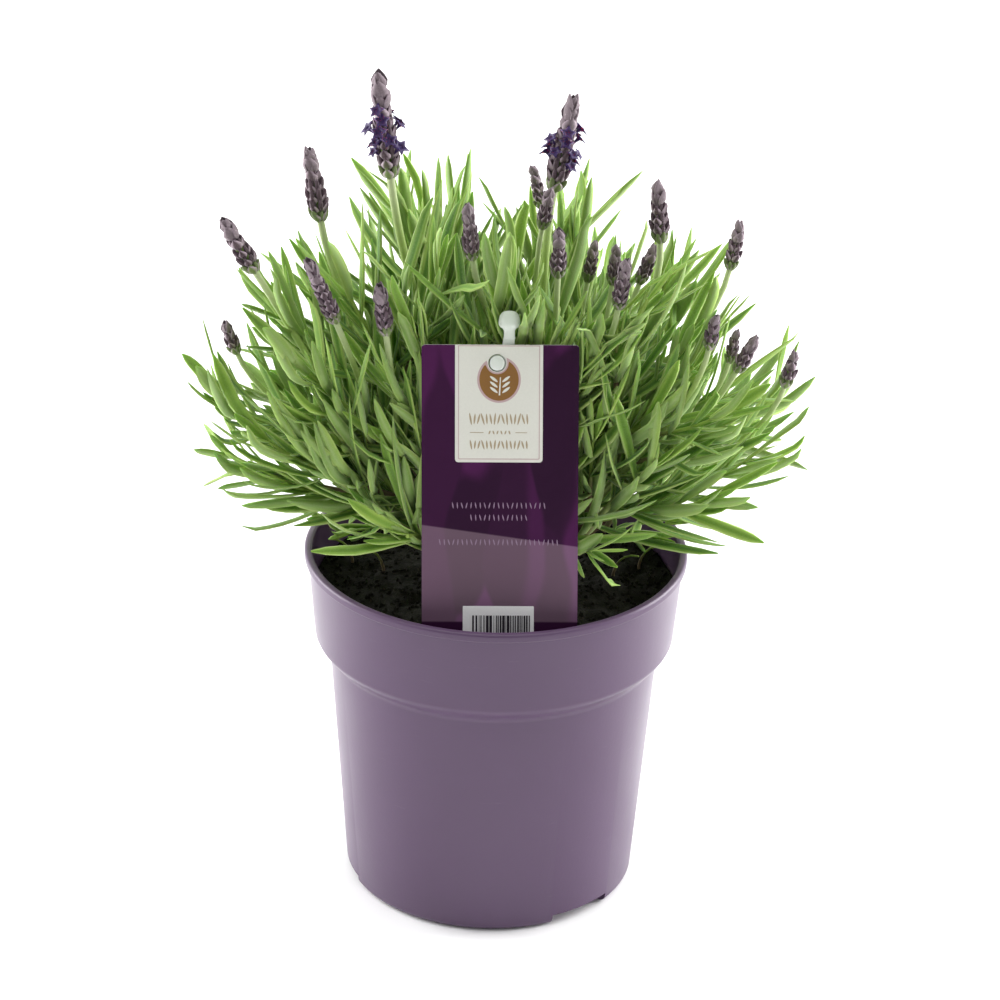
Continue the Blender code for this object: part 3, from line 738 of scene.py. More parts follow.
def makeCard():
    c = cardSizes
    half, top = c["width"] / 2, c["length"]
    holeY = top - c["holeDrop"]
    outline = roundedBox(-half, half, 0, top, c["corner"])
    hole = roundRing(c["holeRadius"], c["holeShift"], holeY, 48)
    mesh = flatShape("card", [outline, hole], c["thickness"])
    while mesh.uv_layers:
        mesh.uv_layers.remove(mesh.uv_layers[0])
    layer = mesh.uv_layers.new(name="cardMap")
    for loop in mesh.loops:
        spot = mesh.vertices[loop.vertex_index].co
        layer.data[loop.index].uv = ((spot.x + half) / c["width"], spot.y / top)
    back = printInk("cardBack", (0.62, 0.60, 0.60), 0.5)
    wear(mesh, makeCardPrintAndPaintedLight(), back)
    for face in mesh.polygons:
        face.material_index = 0 if face.normal.z > 0.9 else 1
    mesh.transform(cardPlace())
    return settle(newObject("card", mesh), "printed_card", "label_card")


def addPrint(name, loops, layer, finish):
    # a printed shape, a hair proud of the card
    mesh = wear(flatShape(name, loops, 0.00003), finish)
    lift = cardSizes["thickness"] / 2 + 0.000015 + 0.00004 * layer
    mesh.transform(cardPlace() @ Matrix.Translation((0, 0, lift)))
    return settle(newObject(name, mesh), "printed_card")


def notchedOval(centre, wide, high, notch, radius):
    # an oval whose top is cut away by a circle round the stud
    loop = []
    for i in range(72):
        angle = math.tau * i / 72
        loop.append(Vector((centre[0] + wide * math.cos(angle), centre[1] + high * math.sin(angle))))
    inside = [i for i, spot in enumerate(loop) if (spot - notch).length < radius]
    first, last = loop[inside[0] - 1] - notch, loop[inside[-1] + 1] - notch
    begin, end = math.atan2(first.y, first.x), math.atan2(last.y, last.x)
    turn = (end - begin) % math.tau - math.tau
    arc = []
    for i in range(1, 16):
        angle = begin + turn * i / 16
        arc.append(notch + Vector((math.cos(angle), math.sin(angle))) * radius)
    return [tuple(spot) for spot in loop[:inside[0]] + arc + loop[inside[-1] + 1:]]


def makePrints():
    top = cardSizes["length"]
    holeY = top - cardSizes["holeDrop"]
    middle = -0.0004
    left, right, low = middle - 0.0143, middle + 0.0143, top - 0.0391
    hole = roundRing(cardSizes["holeRadius"], cardSizes["holeShift"], holeY, 48)
    inks = {name: printInk("ink" + name.capitalize(), colour, 0.34)
            for name, colour in cardColours.items()}
    addPrint("ivoryPanel", [roundedBox(left, right, low, top, 0.0011, 6, 0.0001), hole], 0,
             inks["ivory"])
    edge = [roundedBox(left + 0.0010, right - 0.0010, low + 0.0010, top - 0.0002, 0.0004, 4, 0.0001),
            roundedBox(left + 0.00125, right - 0.00125, low + 0.00125, top - 0.00045, 0.0003, 4,
                       0.0001)]
    addPrint("panelBorder", edge, 1, inks["rose"])
    # a bronze oval, notched where the stud sits over it
    ovalY = top - 0.0115
    notch = Vector((cardSizes["holeShift"], holeY))
    addPrint("ovalRim", [notchedOval((middle, ovalY), 0.0071, 0.0077, notch, 0.0032)], 1,
             inks["rose"])
    addPrint("bronzeOval", [notchedOval((middle, ovalY), 0.0064, 0.0070, notch, 0.0037)], 2,
             inks["bronze"])
    sprig = [[(middle - 0.0001, ovalY - 0.0052), (middle + 0.0004, ovalY - 0.0052),
              (middle + 0.0006, ovalY + 0.0008), (middle + 0.0003, ovalY + 0.0008)]]
    for i in range(3):  # leaves of a small sprig
        for side in (-1, 1):
            sprig.append(lozenge(middle + 0.0003 + side * 0.0020, ovalY - 0.0034 + 0.0018 * i,
                                 0.0032, 0.0009, math.radians(90 - side * 52)))
    addPrint("sprigLeaves", sprig, 3, inks["ivory"])
    rows = []
    for y, count, step, length in ((0.0124, 15, 0.00132, 0.0042), (0.0042, 15, 0.00130, 0.0034)):
        for i in range(count):
            x = middle + (i - (count - 1) / 2) * step
            tilt = (10, -14, 4, -6, 16)[(i * 3) % 5]
            rows.append(lozenge(x, low + y + length / 2, length * (0.86 + 0.14 * (i % 3 == 0)),
                                0.00062, math.radians(90 + tilt)))
    rows.append(rule(middle - 0.0094, middle - 0.0050, low + 0.00985, 0.00022))
    rows.append(rule(middle + 0.0054, middle + 0.0092, low + 0.00985, 0.00022))
    for i in range(6):
        rows.append(lozenge(middle + 0.0002 + (i - 2.5) * 0.0013, low + 0.0100, 0.0014, 0.0005,
                            math.radians(90 + (20 if i % 2 else -20))))
    addPrint("panelOrnament", rows, 1, inks["tan"])
    lines = []
    for y, count, step in ((top - 0.0548, 21, 0.00150), (top - 0.0589, 13, 0.00150),
                           (top - 0.0672, 27, 0.00148)):
        for i in range(count):
            x = middle + (i - (count - 1) / 2) * step
            tilt = 90 + (10, -14, 4, -6, 16)[(i * 2) % 5]
            lines.append(lozenge(x, y + 0.0012, 0.0022, 0.00040, math.radians(tilt)))
    addPrint("leafRows", lines, 0, inks["lilac"])
    barTop, barLow = top - 0.0876, 0.0015
    addPrint("whitePatch", [roundedBox(middle - 0.0117, middle + 0.0117, barLow, barTop, 0.0003, 3)],
             0, inks["white"])
    rng = random.Random(5)
    bars = []
    x = middle - 0.0086
    while x < middle + 0.0104:  # plain bars of uneven width
        width = rng.choice((0.00022, 0.0004, 0.0006, 0.0009))
        bars.append(rule(x, min(x + width, middle + 0.0106), barLow + 0.0012, 0.0158))
        x += width + rng.choice((0.0002, 0.0003, 0.0005))
    addPrint("plainBars", bars, 1, inks["ink"])


def makeMilkyPlastic():
    made, tree, shader = newFinish("milkyPlastic")
    cloud = grain(tree, 120, 3)
    painted(tree, shader, {
        "Base Color": mixed(tree, cloud, (0.78, 0.86, 0.77), (0.90, 0.94, 0.88)),
        "Roughness": span(tree, cloud, 0.3, 0.7, 0.18, 0.32), "Transmission Weight": 0.22,
        "IOR": 1.45, "Subsurface Weight": 0.5, "Subsurface Radius": (1, 1, 1),
        "Subsurface Scale": 0.003})
    bumped(tree, shader, cloud, 0.1, 0.0003)
    return made


def latticeMesh(name, rows):
    # rows of points, each joined to the next; the first and the last are closed
    shape = bmesh.new()
    made = [[shape.verts.new(point) for point in row] for row in rows]
    count = len(rows[0])
    for low, high in zip(made, made[1:]):
        for i in range(count):
            j = (i + 1) % count
            shape.faces.new((low[i], low[j], high[j], high[i]))
    shape.faces.new(list(reversed(made[0])))
    shape.faces.new(made[-1])
    mesh = meshFrom(shape, name)
    mesh.shade_smooth()
    return mesh


def makeStake():
    s = stakeSizes
    place = cardPlace()
    behind = cardSizes["thickness"] / 2 + s["gap"] + s["thickness"] / 2
    top = cardSizes["length"]
    topX, holeX, footX = s["shifts"]
    foot = place @ Vector((footX, 0.004, -behind))
    path = [place @ Vector((topX, top + s["knobRise"] - 0.0004, -behind)),
            place @ Vector((holeX, top - cardSizes["holeDrop"], -behind)), foot,
            foot + Vector((0, 0.0006, -0.006)), foot + Vector((0, 0.0022, -0.020)),
            Vector((foot.x, foot.y + 0.0062, s["tipZ"]))]
    outline = roundedBox(-0.5, 0.5, -0.5, 0.5, 0.16, 3)
    across = place.to_3x3() @ Vector((1, 0, 0))
    rows = []
    for i, (point, share) in enumerate(zip(path, (0.7, 1, 1, 1, 1, 0.4))):
        way = path[max(i - 1, 0)] - path[min(i + 1, len(path) - 1)]
        facing = across.cross(way).normalized()
        rows.append([point + across * s["width"] * share * x + facing * s["thickness"] * y
                     for x, y in outline])
    stake = newObject("stake", tidyMesh(latticeMesh("strip", rows)))
    r, h = s["knobRadius"], s["knobHeight"]
    profile = [(0, h), (r * 0.28, h * 0.995), (r * 0.52, h * 0.965), (r * 0.72, h * 0.90),
               (r * 0.86, h * 0.80), (r * 0.95, h * 0.66), (r, h * 0.50), (r * 0.97, h * 0.38),
               (r * 0.84, h * 0.29), (r * 0.62, h * 0.23), (r * 0.52, h * 0.15), (r * 0.5, 0.0),
               (r * 0.52, -0.0008), (r * 0.55, -0.0016), (0, -0.0016)]
    knob = turned(profile, 40, "knob")
    knob.transform(place @ Matrix.Translation((topX, top + s["knobRise"], -behind))
                   @ Matrix.Diagonal((1, 1, s["knobDepth"], 1))
                   @ Matrix.Rotation(math.radians(-90), 4, "X"))
    stud = turned([(0, s["studLength"]), (s["studRadius"] * 0.7, s["studLength"]),
                   (s["studRadius"] * 0.95, s["studLength"] * 0.9),
                   (s["studRadius"], s["studLength"] * 0.75), (s["studRadius"], 0), (0, 0)],
                  40, "stud")
    stud.transform(place @ Matrix.Translation((cardSizes["holeShift"],
                                               top - cardSizes["holeDrop"], -behind)))
    joined = combined(stake, [tidyMesh(knob), tidyMesh(stud)], "UNION")
    mesh = wear(tidyMesh(joined, 35), makeMilkyPlastic())
    return settle(newObject("stake", mesh), "clear_plastic", "label_stake")


def addSpline(curve, points, radii, cyclic=False):
    spline = curve.splines.new("POLY")
    spline.points.add(len(points) - 1)
    for slot, point, radius in zip(spline.points, points, radii):
        slot.co = (*point, 1)
        slot.radius = radius
    spline.use_cyclic_u = cyclic


makeCard()
makePrints()
makeStake()
print("card and stake made")


# woody base

baseSizes = {"collarRadius": 0.0042, "collarTop": 0.117, "branches": 9, "reach": 0.030,
             "radius": 0.0019, "soilZ": 0.1045}


def domeDirection(index, count):
    height = 1 - (index + 0.5) / count
    level = math.sqrt(1 - height * height)
    angle = index * goldenAngle
    return Vector((level * math.cos(angle), level * math.sin(angle), height))


def bezierLine(start, startPull, endPull, end, count):
    points = []
    for i in range(count):
        t = i / (count - 1)
        s = 1 - t
        points.append(start * s**3 + startPull * 3 * s * s * t + endPull * 3 * s * t * t + end * t**3)
    return points


def branchLines():
    b = baseSizes
    root = Vector((0, 0, b["collarTop"] - 0.004))
    lines = []
    for i in range(b["branches"]):
        way = domeDirection(i, b["branches"])
        reach = b["reach"] * (0.85 + 0.3 * (i % 3) / 2)
        tip = root + Vector((way.x * 1.15, way.y * 1.15, way.z + 0.32)) * reach
        middle = root.lerp(tip, 0.5) + Vector((way.x, way.y, 0)) * reach * 0.08
        lines.append((root, middle, tip))
    return lines


def barkTree():
    tree, given = newTree("barkTube", [("Branch Lines", "Object"), ("Knobbles", 0.0003),
                                       ("Finish", "Material")])
    radius = addNode(tree, "GeometryNodeInputRadius").outputs[0]
    line = addNode(tree, "GeometryNodeResampleCurve",
                   {"Curve": curveFrom(tree, given["Branch Lines"]), "Length": 0.0009},
                   mode="LENGTH").outputs[0]
    tube = tubeAlong(tree, line, 14, radius)
    lumps = addNode(tree, "ShaderNodeTexNoise", {"Scale": 420.0, "Detail": 4.0}).outputs[0]
    height = calc(tree, "MULTIPLY", calc(tree, "SUBTRACT", lumps, 0.5), given["Knobbles"])
    push = scaled(tree, addNode(tree, "GeometryNodeInputNormal").outputs[0],
                  calc(tree, "MULTIPLY", height, 4.0))
    return finishTree(tree, [(shifted(tree, tube, push), given["Finish"])])


def makeBark():
    made, tree, shader = newFinish("oldBark")
    coarse = grain(tree, 300, 5)
    fine = grain(tree, 1600, 3)
    colour = mixed(tree, coarse, (0.045, 0.025, 0.014), (0.24, 0.15, 0.085))
    colour = mixed(tree, fine, colour, (0.30, 0.22, 0.15), "OVERLAY")
    painted(tree, shader, {"Base Color": colour, "Roughness": 0.85})
    bumped(tree, shader, calc(tree, "ADD", coarse, fine), 0.8, 0.0007)
    return made


def makeWoodyBase(bark):
    b = baseSizes
    lines = newLines("branchLines")
    collar = [(0, 0, b["soilZ"] - 0.006), (0.0003, 0, b["soilZ"]), (0, 0.0002, 0.112),
              (0, 0, b["collarTop"])]
    addSpline(lines, collar, [b["collarRadius"] * k for k in (1.0, 1.05, 0.95, 0.8)])
    for root, middle, tip in branchLines():
        addSpline(lines, [root, middle, tip], [b["radius"] * k for k in (1.3, 1.0, 0.8)])
    source = newObject("branchLines", lines)
    piece = growWith(barkTree(), {"Branch Lines": source, "Knobbles": 0.0004, "Finish": bark},
                     "woodyBase")
    drop([source])
    return settle(piece, "bark", "woody_base")


bark = makeBark()
makeWoodyBase(bark)
print("woody base made")


# flower stems' sizes

stalkRadius = 0.00105
# each spike's tip (x, y, z) and length in mm, its lean to +X in degrees and its width in mm
spikes = (
    (-42, 6, 290, 36, -7, 9.2),
    (-65, 20, 258, 25, -9, 8.6),
    (-92, -5, 242, 23, -30, 7.6),
    (-93, 16, 196, 12, -21, 5.6),
    (-63, -28, 238, 24, -22, 6.0),
    (-40, -30, 231, 20, -8, 6.8),
    (-12, -12, 252, 21, -6, 6.0),
    (22, 16, 280, 33, 10, 9.4),
    (9, 34, 248, 16, -14, 5.0),
    (15, 4, 252, 15, 10, 5.2),
    (18, -12, 244, 18, 0, 5.6),
    (31, 42, 218, 15, 9, 5.2),
    (38, 26, 223, 14, 5, 5.2),
    (40, -24, 239, 19, 7, 6.0),
    (50, 10, 253, 23, -5, 7.4),
    (51, 30, 222, 15, 20, 5.4),
    (79, 26, 233, 18, 10, 6.0),
    (70, -18, 218, 13, 8, 5.6),
    (80, 34, 190, 12, 11, 5.0),
    (84, -12, 208, 15, 25, 5.6),
    (98, 2, 197, 14, 13, 5.6),
)
inFlower = (1, 8)


# leafy shoots

crown = {"shoots": 30, "floorZ": 0.137, "rise": 0.084, "radius": 0.074, "stemRadius": 0.0011,
         "twigs": 2, "twigLength": 0.046, "sideBounds": (0.091, 0.100), "ceilingZ": 0.244}
curtainSizes = {"reach": 0.060, "gap": 0.0049, "below": 0.008, "above": 0.001, "knob": 0.011}
leaves = {"Leaf Length": 0.0400, "Leaf Width": 0.0042, "Node Spacing": 0.0078, "Leafy Part": 0.050,
          "Open Low": math.radians(54), "Open Top": math.radians(20), "Curl": 0.30}


def behindCard(point, clearance):
    foot = Vector(cardSizes["foot"])
    cardY = foot.y + (point.z - foot.z) * math.tan(math.radians(cardSizes["lean"]))
    point.y = max(point.y, cardY + clearance)
    return point


def shootTarget(index):
    c = crown
    way = domeDirection(index, c["shoots"])
    level = math.hypot(way.x, way.y)
    reach = c["radius"] * level**0.75 / level
    target = Vector((way.x * reach, way.y * reach, c["floorZ"] + c["rise"] * way.z**0.8))
    target.z += 0.17 * max(0.0, target.x) * min(1.0, way.z * 3)
    target.x *= 1.05
    heading = Vector((way.x * 0.9, way.y * 0.9, way.z + 0.22)).normalized()
    return behindCard(target, 0.009), heading


def startOf(nodeName):
    # where the solid of a stem leaves the woody base
    root = Vector((0, 0, baseSizes["collarTop"] - 0.004))
    spots = [vertex.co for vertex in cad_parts[nodeName].data.vertices]
    return min(spots, key=lambda spot: (spot - root).length).copy()


def stemFromBase(start, target, heading, count):
    away = Vector((start.x, start.y, 0))
    leave = (away.normalized() * 0.5 + Vector((0, 0, 1))).normalized()
    distance = (target - start).length
    return bezierLine(start, start + leave * distance * 0.33, target - heading * distance * 0.38,
                      target, count)


def twigLines(main, heading, rng):
    lines = []
    first = rng.uniform(0, math.tau)
    for i in range(crown["twigs"]):
        spot = main[int((0.40 + 0.18 * i) * (len(main) - 1))]
        side = heading.orthogonal().normalized()
        side.rotate(Matrix.Rotation(first + i * math.tau / crown["twigs"] + rng.uniform(-0.5, 0.5),
                                    3, heading))
        spread = rng.uniform(0.45, 0.95)
        way = (heading + side * spread + Vector((0, 0, 0.15))).normalized()
        end = spot + way * crown["twigLength"] * rng.uniform(0.8, 1.25)
        end.z = max(end.z, 0.133)
        end = behindCard(end, 0.006)
        up = (way + Vector((0, 0, 0.35))).normalized()
        size = (end - spot).length
        lines.append(bezierLine(spot, spot + way * size * 0.35, end - up * size * 0.35, end, 7))
    return lines


def leafSection():
    # margins rolled under, shoulders, a sunken midline and a rib below
    curve = newLines("leafSection")
    outline = [(-0.10, -1.0), (0.20, -0.62), (-0.02, 0.0), (0.20, 0.62), (-0.10, 1.0), (-0.30, 0.0)]
    addSpline(curve, [(height, across, 0) for height, across in outline], [1] * 6, True)
    return newObject("leafSection", curve)


def spikeLine(x, y, z, long, lean):
    # the foot, tip and direction of a spike
    tip = Vector((x, y, z)) * 0.001
    way = Vector((math.tan(math.radians(lean)), math.tan(math.radians(12) * y / 60), 1))
    way.normalize()
    return tip - way * long * (0.00086 if long < 24 else 0.00096), tip, way


def makeCurtains():
    # upright strips in front of each spike and of the stake's knob, where no leaf may hang
    rise = math.radians(cameraView["elevation"])
    forward = Vector((0, -math.cos(rise), math.sin(rise))) * curtainSizes["reach"]
    lines = []
    for *place, _ in spikes:
        base, tip, way = spikeLine(*place)
        lines.append((base - way * curtainSizes["below"], tip + way * curtainSizes["above"]))
    knobX = stakeSizes["shifts"][0]
    lines.append([cardPlace() @ Vector((knobX, cardSizes["length"] + y, 0))
                  for y in (0, curtainSizes["knob"])])
    points, faces = [], []
    for low, high in lines:
        faces.append([len(points) + i for i in range(4)])
        points += [low, high, high + forward, low + forward]
    mesh = bpy.data.meshes.new("curtains")
    mesh.from_pydata(points, [], faces)
    return newObject("curtains", mesh)


def leafyTree():
    tree, given = newTree("leafyShoot", [
        ("Stem Lines", "Object"), ("Leaf Section", "Object"), ("Curtains", "Object"),
        ("Curtain Gap", curtainSizes["gap"]), ("Leaf Length", 0.04), ("Leaf Width", 0.004),
        ("Node Spacing", 0.007), ("Leafy Part", 0.05), ("Open Low", 1.0), ("Open Top", 0.2),
        ("Curl", 0.2), ("Seed", 1),
        ("Stem Finish", "Material"), ("Leaf Finish", "Material")])
    seed = given["Seed"]
    lines = curveFrom(tree, given["Stem Lines"])
    factor = addNode(tree, "GeometryNodeSplineParameter").outputs["Factor"]
    stemCurve = store(tree, lines, "stemAlong", factor)
    stems = tubeAlong(tree, stemCurve, 6, addNode(tree, "GeometryNodeInputRadius").outputs[0])

    # the places of the leaf pairs, on the last part of each stem
    length = addNode(tree, "GeometryNodeSplineLength").outputs["Length"]
    begin = calc(tree, "MAXIMUM", calc(tree, "SUBTRACT", length, given["Leafy Part"]), 0.0)
    leafy = addNode(tree, "GeometryNodeTrimCurve", {0: lines, 4: begin, 5: length}, mode="LENGTH")
    points = placesAlong(tree, leafy.outputs[0], given["Node Spacing"], "stem")
    points = repeated(tree, points, 4, "turnIndex")

    # two full leaves at each place, and a small one in the axil of each
    turnIndex = named(tree, "turnIndex")
    along = named(tree, "stemAlong")
    axis = named(tree, "stemWay", "FLOAT_VECTOR")
    small = calc(tree, "GREATER_THAN", turnIndex, 1.5)
    slant = randomly(tree, -0.8, 0.8, seed, 14)
    turn = calc(tree, "MULTIPLY", named(tree, "stemNode"), math.pi / 2)
    turn = calc(tree, "MULTIPLY_ADD", turnIndex, math.pi, turn)
    turn = calc(tree, "MULTIPLY_ADD", small, slant, turn)
    turn = calc(tree, "ADD", turn, randomly(tree, -0.55, 0.55, seed, 1))
    side = turnedAbout(tree, named(tree, "stemSide", "FLOAT_VECTOR"), axis, turn)
    opened = calc(tree, "ADD", span(tree, along, 0.0, 1.0, given["Open Low"], given["Open Top"]),
                  randomly(tree, -0.26, 0.30, seed, 2))
    opened = calc(tree, "MULTIPLY", opened, span(tree, small, 0.0, 1.0, 1.0, 0.66))
    way = leaned(tree, axis, side, opened)
    size = calc(tree, "MULTIPLY", given["Leaf Length"], randomly(tree, 0.80, 1.15, seed, 3))
    size = calc(tree, "MULTIPLY", size, span(tree, along, 0.6, 1.0, 1.0, 0.74))
    size = calc(tree, "MULTIPLY", size,
                span(tree, small, 0.0, 1.0, 1.0, randomly(tree, 0.35, 0.62, seed, 4)))
    half = calc(tree, "MULTIPLY", given["Leaf Width"], randomly(tree, 0.36, 0.60, seed, 5))
    half = calc(tree, "MULTIPLY", half, span(tree, small, 0.0, 1.0, 1.0, 0.72))
    half = calc(tree, "MULTIPLY", half, span(tree, along, 0.6, 1.0, 1.0, 0.92))
    rise = calc(tree, "MULTIPLY", calc(tree, "SINE", opened),
                calc(tree, "MULTIPLY", given["Curl"], randomly(tree, 0.2, 1.5, seed, 6)))
    inward = calc(tree, "MULTIPLY", calc(tree, "SINE", opened), randomly(tree, -0.45, 0.36, seed, 7))
    bend = vectorCalc(tree, "ADD", scaled(tree, side, inward),
                      addNode(tree, "ShaderNodeCombineXYZ", {"Z": rise}).outputs[0])
    wide = vectorCalc(tree, "NORMALIZE", vectorCalc(tree, "CROSS_PRODUCT", axis, side))
    swayed = vectorCalc(tree, "ADD", bend, scaled(tree, wide, randomly(tree, -0.12, 0.12, seed, 8)))
    points = store(tree, points, "leafBend", scaled(tree, swayed, size), "FLOAT_VECTOR")
    points = store(tree, points, "leafWide", wide, "FLOAT_VECTOR")
    points = store(tree, points, "leafHalf", half)
    points = store(tree, points, "leafTwist", randomly(tree, -0.9, 0.9, seed, 9))
    points = store(tree, points, "leafTone", randomly(tree, 0.0, 1.0, seed, 10))
    stretch = addNode(tree, "FunctionNodeAlignRotationToVector", {"Vector": way}, axis="Z")
    line = addNode(tree, "GeometryNodeCurvePrimitiveLine", {0: (0, 0, 0), 1: (0, 0, 1)})
    line = addNode(tree, "GeometryNodeResampleCurve", {"Curve": line.outputs[0], "Count": 9},
                   mode="COUNT").outputs[0]
    keep = calc(tree, "GREATER_THAN", randomly(tree, 0.0, 1.0, seed, 12), 0.08)
    curtains = curveFrom(tree, given["Curtains"])
    root = here(tree)
    straight, crook = scaled(tree, way, size), scaled(tree, swayed, size)
    clear = calc(tree, "MULTIPLY", given["Curtain Gap"], 0.62)
    for t in (0.25, 0.4, 0.55, 0.7, 0.85, 1.0):  # no leaf may cross a curtain
        spot = vectorCalc(tree, "ADD", root, scaled(tree, straight, t))
        spot = vectorCalc(tree, "ADD", spot, scaled(tree, crook, t * t))
        far = addNode(tree, "GeometryNodeProximity", {0: curtains, "Sample Position": spot})
        keep = calc(tree, "MULTIPLY", keep,
                    calc(tree, "GREATER_THAN", far.outputs["Distance"], clear))
    leafLines = addNode(tree, "GeometryNodeInstanceOnPoints",
                        {"Points": points, "Selection": keep, "Instance": line,
                         "Rotation": stretch.outputs[0], "Scale": size})
    ribs = addNode(tree, "GeometryNodeRealizeInstances", {0: leafLines.outputs[0]}).outputs[0]
    s = addNode(tree, "GeometryNodeSplineParameter").outputs["Factor"]
    ribs = store(tree, ribs, "leafAlong", s)
    bent = scaled(tree, named(tree, "leafBend", "FLOAT_VECTOR"), calc(tree, "MULTIPLY", s, s))
    ribs = shifted(tree, ribs, bent)
    curtain = addNode(tree, "GeometryNodeProximity", {0: curtains}).outputs
    aside = vectorCalc(tree, "NORMALIZE",
                       vectorCalc(tree, "SUBTRACT", here(tree), curtain["Position"]))
    short = calc(tree, "SUBTRACT", given["Curtain Gap"], curtain["Distance"])
    push = scaled(tree, aside, calc(tree, "MULTIPLY", calc(tree, "MAXIMUM", short, 0.0), s))
    ribs = keepClear(tree, shifted(tree, ribs, push))

    # each leaf's cross-section, run along its rib
    tangent = addNode(tree, "GeometryNodeInputTangent").outputs[0]
    width = turnedAbout(tree, named(tree, "leafWide", "FLOAT_VECTOR"), tangent,
                        calc(tree, "MULTIPLY", named(tree, "leafTwist"), s))
    facing = vectorCalc(tree, "CROSS_PRODUCT", tangent, width)
    ribs = addNode(tree, "GeometryNodeSetCurveNormal", {"Curve": ribs, "Normal": facing},
                   mode="FREE").outputs[0]
    section = curveFrom(tree, given["Leaf Section"])
    corner = parted(tree, here(tree))
    section = store(tree, section, "leafAcross", corner["Y"])
    section = store(tree, section, "leafUnder", span(tree, corner["X"], -0.1, -0.3, 0.0, 1.0))
    outline = profileCurve(tree, s, ((0, 0.42), (0.14, 0.70), (0.42, 0.97), (0.66, 1.0),
                                     (0.88, 0.72), (1, 0.14)))
    blades = addNode(tree, "GeometryNodeCurveToMesh",
                     {"Curve": ribs, "Profile Curve": section, "Fill Caps": True,
                      "Scale": calc(tree, "MULTIPLY", outline, named(tree, "leafHalf"))})
    return finishTree(tree, [(stems, given["Stem Finish"]), (blades.outputs[0], given["Leaf Finish"])])


def keepClear(tree, ribs):
    # leaves stay inside the plant's outline, above the soil and rim, and behind the card
    place = parted(tree, here(tree))
    flat = addNode(tree, "ShaderNodeCombineXYZ", {"X": place["X"], "Y": place["Y"]}).outputs[0]
    radius = addNode(tree, "ShaderNodeVectorMath", {0: flat}, operation="LENGTH").outputs["Value"]
    bound = span(tree, place["X"], 0.0, 0.07, *crown["sideBounds"])
    excess = calc(tree, "MAXIMUM", calc(tree, "SUBTRACT", radius, bound), 0.0)
    shrink = calc(tree, "DIVIDE", calc(tree, "MULTIPLY_ADD", excess, -0.5, radius),
                  calc(tree, "MAXIMUM", radius, 0.001))
    x = calc(tree, "MULTIPLY", place["X"], shrink)
    y = calc(tree, "MULTIPLY", place["Y"], shrink)
    over = calc(tree, "MAXIMUM", calc(tree, "SUBTRACT", place["Z"], crown["ceilingZ"]), 0.0)
    z = calc(tree, "MULTIPLY_ADD", over, -0.5, place["Z"])
    rimZ = span(tree, radius, 0.050, 0.061, 0.113, 0.1275)
    z = calc(tree, "MAXIMUM", z, calc(tree, "MAXIMUM", rimZ,
                                      span(tree, radius, 0.061, 0.088, 0.1275, 0.136)))
    footX, footY, footZ = cardSizes["foot"]
    slope = math.tan(math.radians(cardSizes["lean"]))
    limit = calc(tree, "MULTIPLY_ADD", calc(tree, "SUBTRACT", z, footZ), slope, footY + 0.0036)
    aside = calc(tree, "ABSOLUTE", calc(tree, "SUBTRACT", x, footX))
    limit = calc(tree, "SUBTRACT", limit, span(tree, aside, 0.028, 0.044, 0.0, 0.006, True))
    limit = calc(tree, "MAXIMUM", limit, calc(tree, "SUBTRACT", 0.088, z))
    near = span(tree, z, 0.214, 0.224, 1.0, 0.0)
    gap = calc(tree, "MAXIMUM", calc(tree, "SUBTRACT", limit, y), 0.0)
    y = calc(tree, "MULTIPLY_ADD", gap, near, y)
    spot = addNode(tree, "ShaderNodeCombineXYZ", {"X": x, "Y": y, "Z": z}).outputs[0]
    return addNode(tree, "GeometryNodeSetPosition", {"Geometry": ribs, "Position": spot}).outputs[0]


def makeLeafFinish():
    made, tree, shader = newFinish("lavenderLeaf")
    along = fromAttribute(tree, "leafAlong")
    across = calc(tree, "ABSOLUTE", fromAttribute(tree, "leafAcross"))
    under = fromAttribute(tree, "leafUnder")
    tone = fromAttribute(tree, "leafTone")
    young = fromAttribute(tree, "stemAlong")
    patch = grain(tree, 90, 3)
    felt = grain(tree, 2600, 2)
    groove = mixed(tree, tone, (0.038, 0.125, 0.003), (0.085, 0.205, 0.012))
    shoulder = mixed(tree, tone, (0.120, 0.270, 0.018), (0.290, 0.420, 0.085))
    blade = layered(
        tree, groove, (span(tree, across, 0.08, 0.62, 0, 1, True), shoulder),
        (span(tree, across, 0.66, 0.95, 0.0, 0.8, True), (0.50, 0.61, 0.22)),
        (span(tree, young, 0.5, 1.0, 0.0, 0.35), (0.36, 0.55, 0.05)),
        (span(tree, along, 0.75, 1.0, 0.0, 0.3), (0.25, 0.40, 0.05)),
        (span(tree, patch, 0.35, 0.7, 0.0, 0.35), (0.070, 0.20, 0.008)),
        (calc(tree, "MULTIPLY", under, 0.8), (0.28, 0.39, 0.13)),
        (span(tree, felt, 0.45, 0.75, 0.0, 0.14), (0.46, 0.55, 0.30)))
    painted(tree, shader, {
        "Base Color": blade, "Roughness": span(tree, felt, 0.3, 0.7, 0.52, 0.68),
        "Specular IOR Level": 0.35, "Subsurface Weight": 0.18,
        "Subsurface Radius": (0.5, 1.0, 0.2), "Subsurface Scale": 0.0012,
        "Sheen Weight": 0.12, "Sheen Roughness": 0.5})
    bumped(tree, shader, felt, 0.25, 0.0003)
    return made


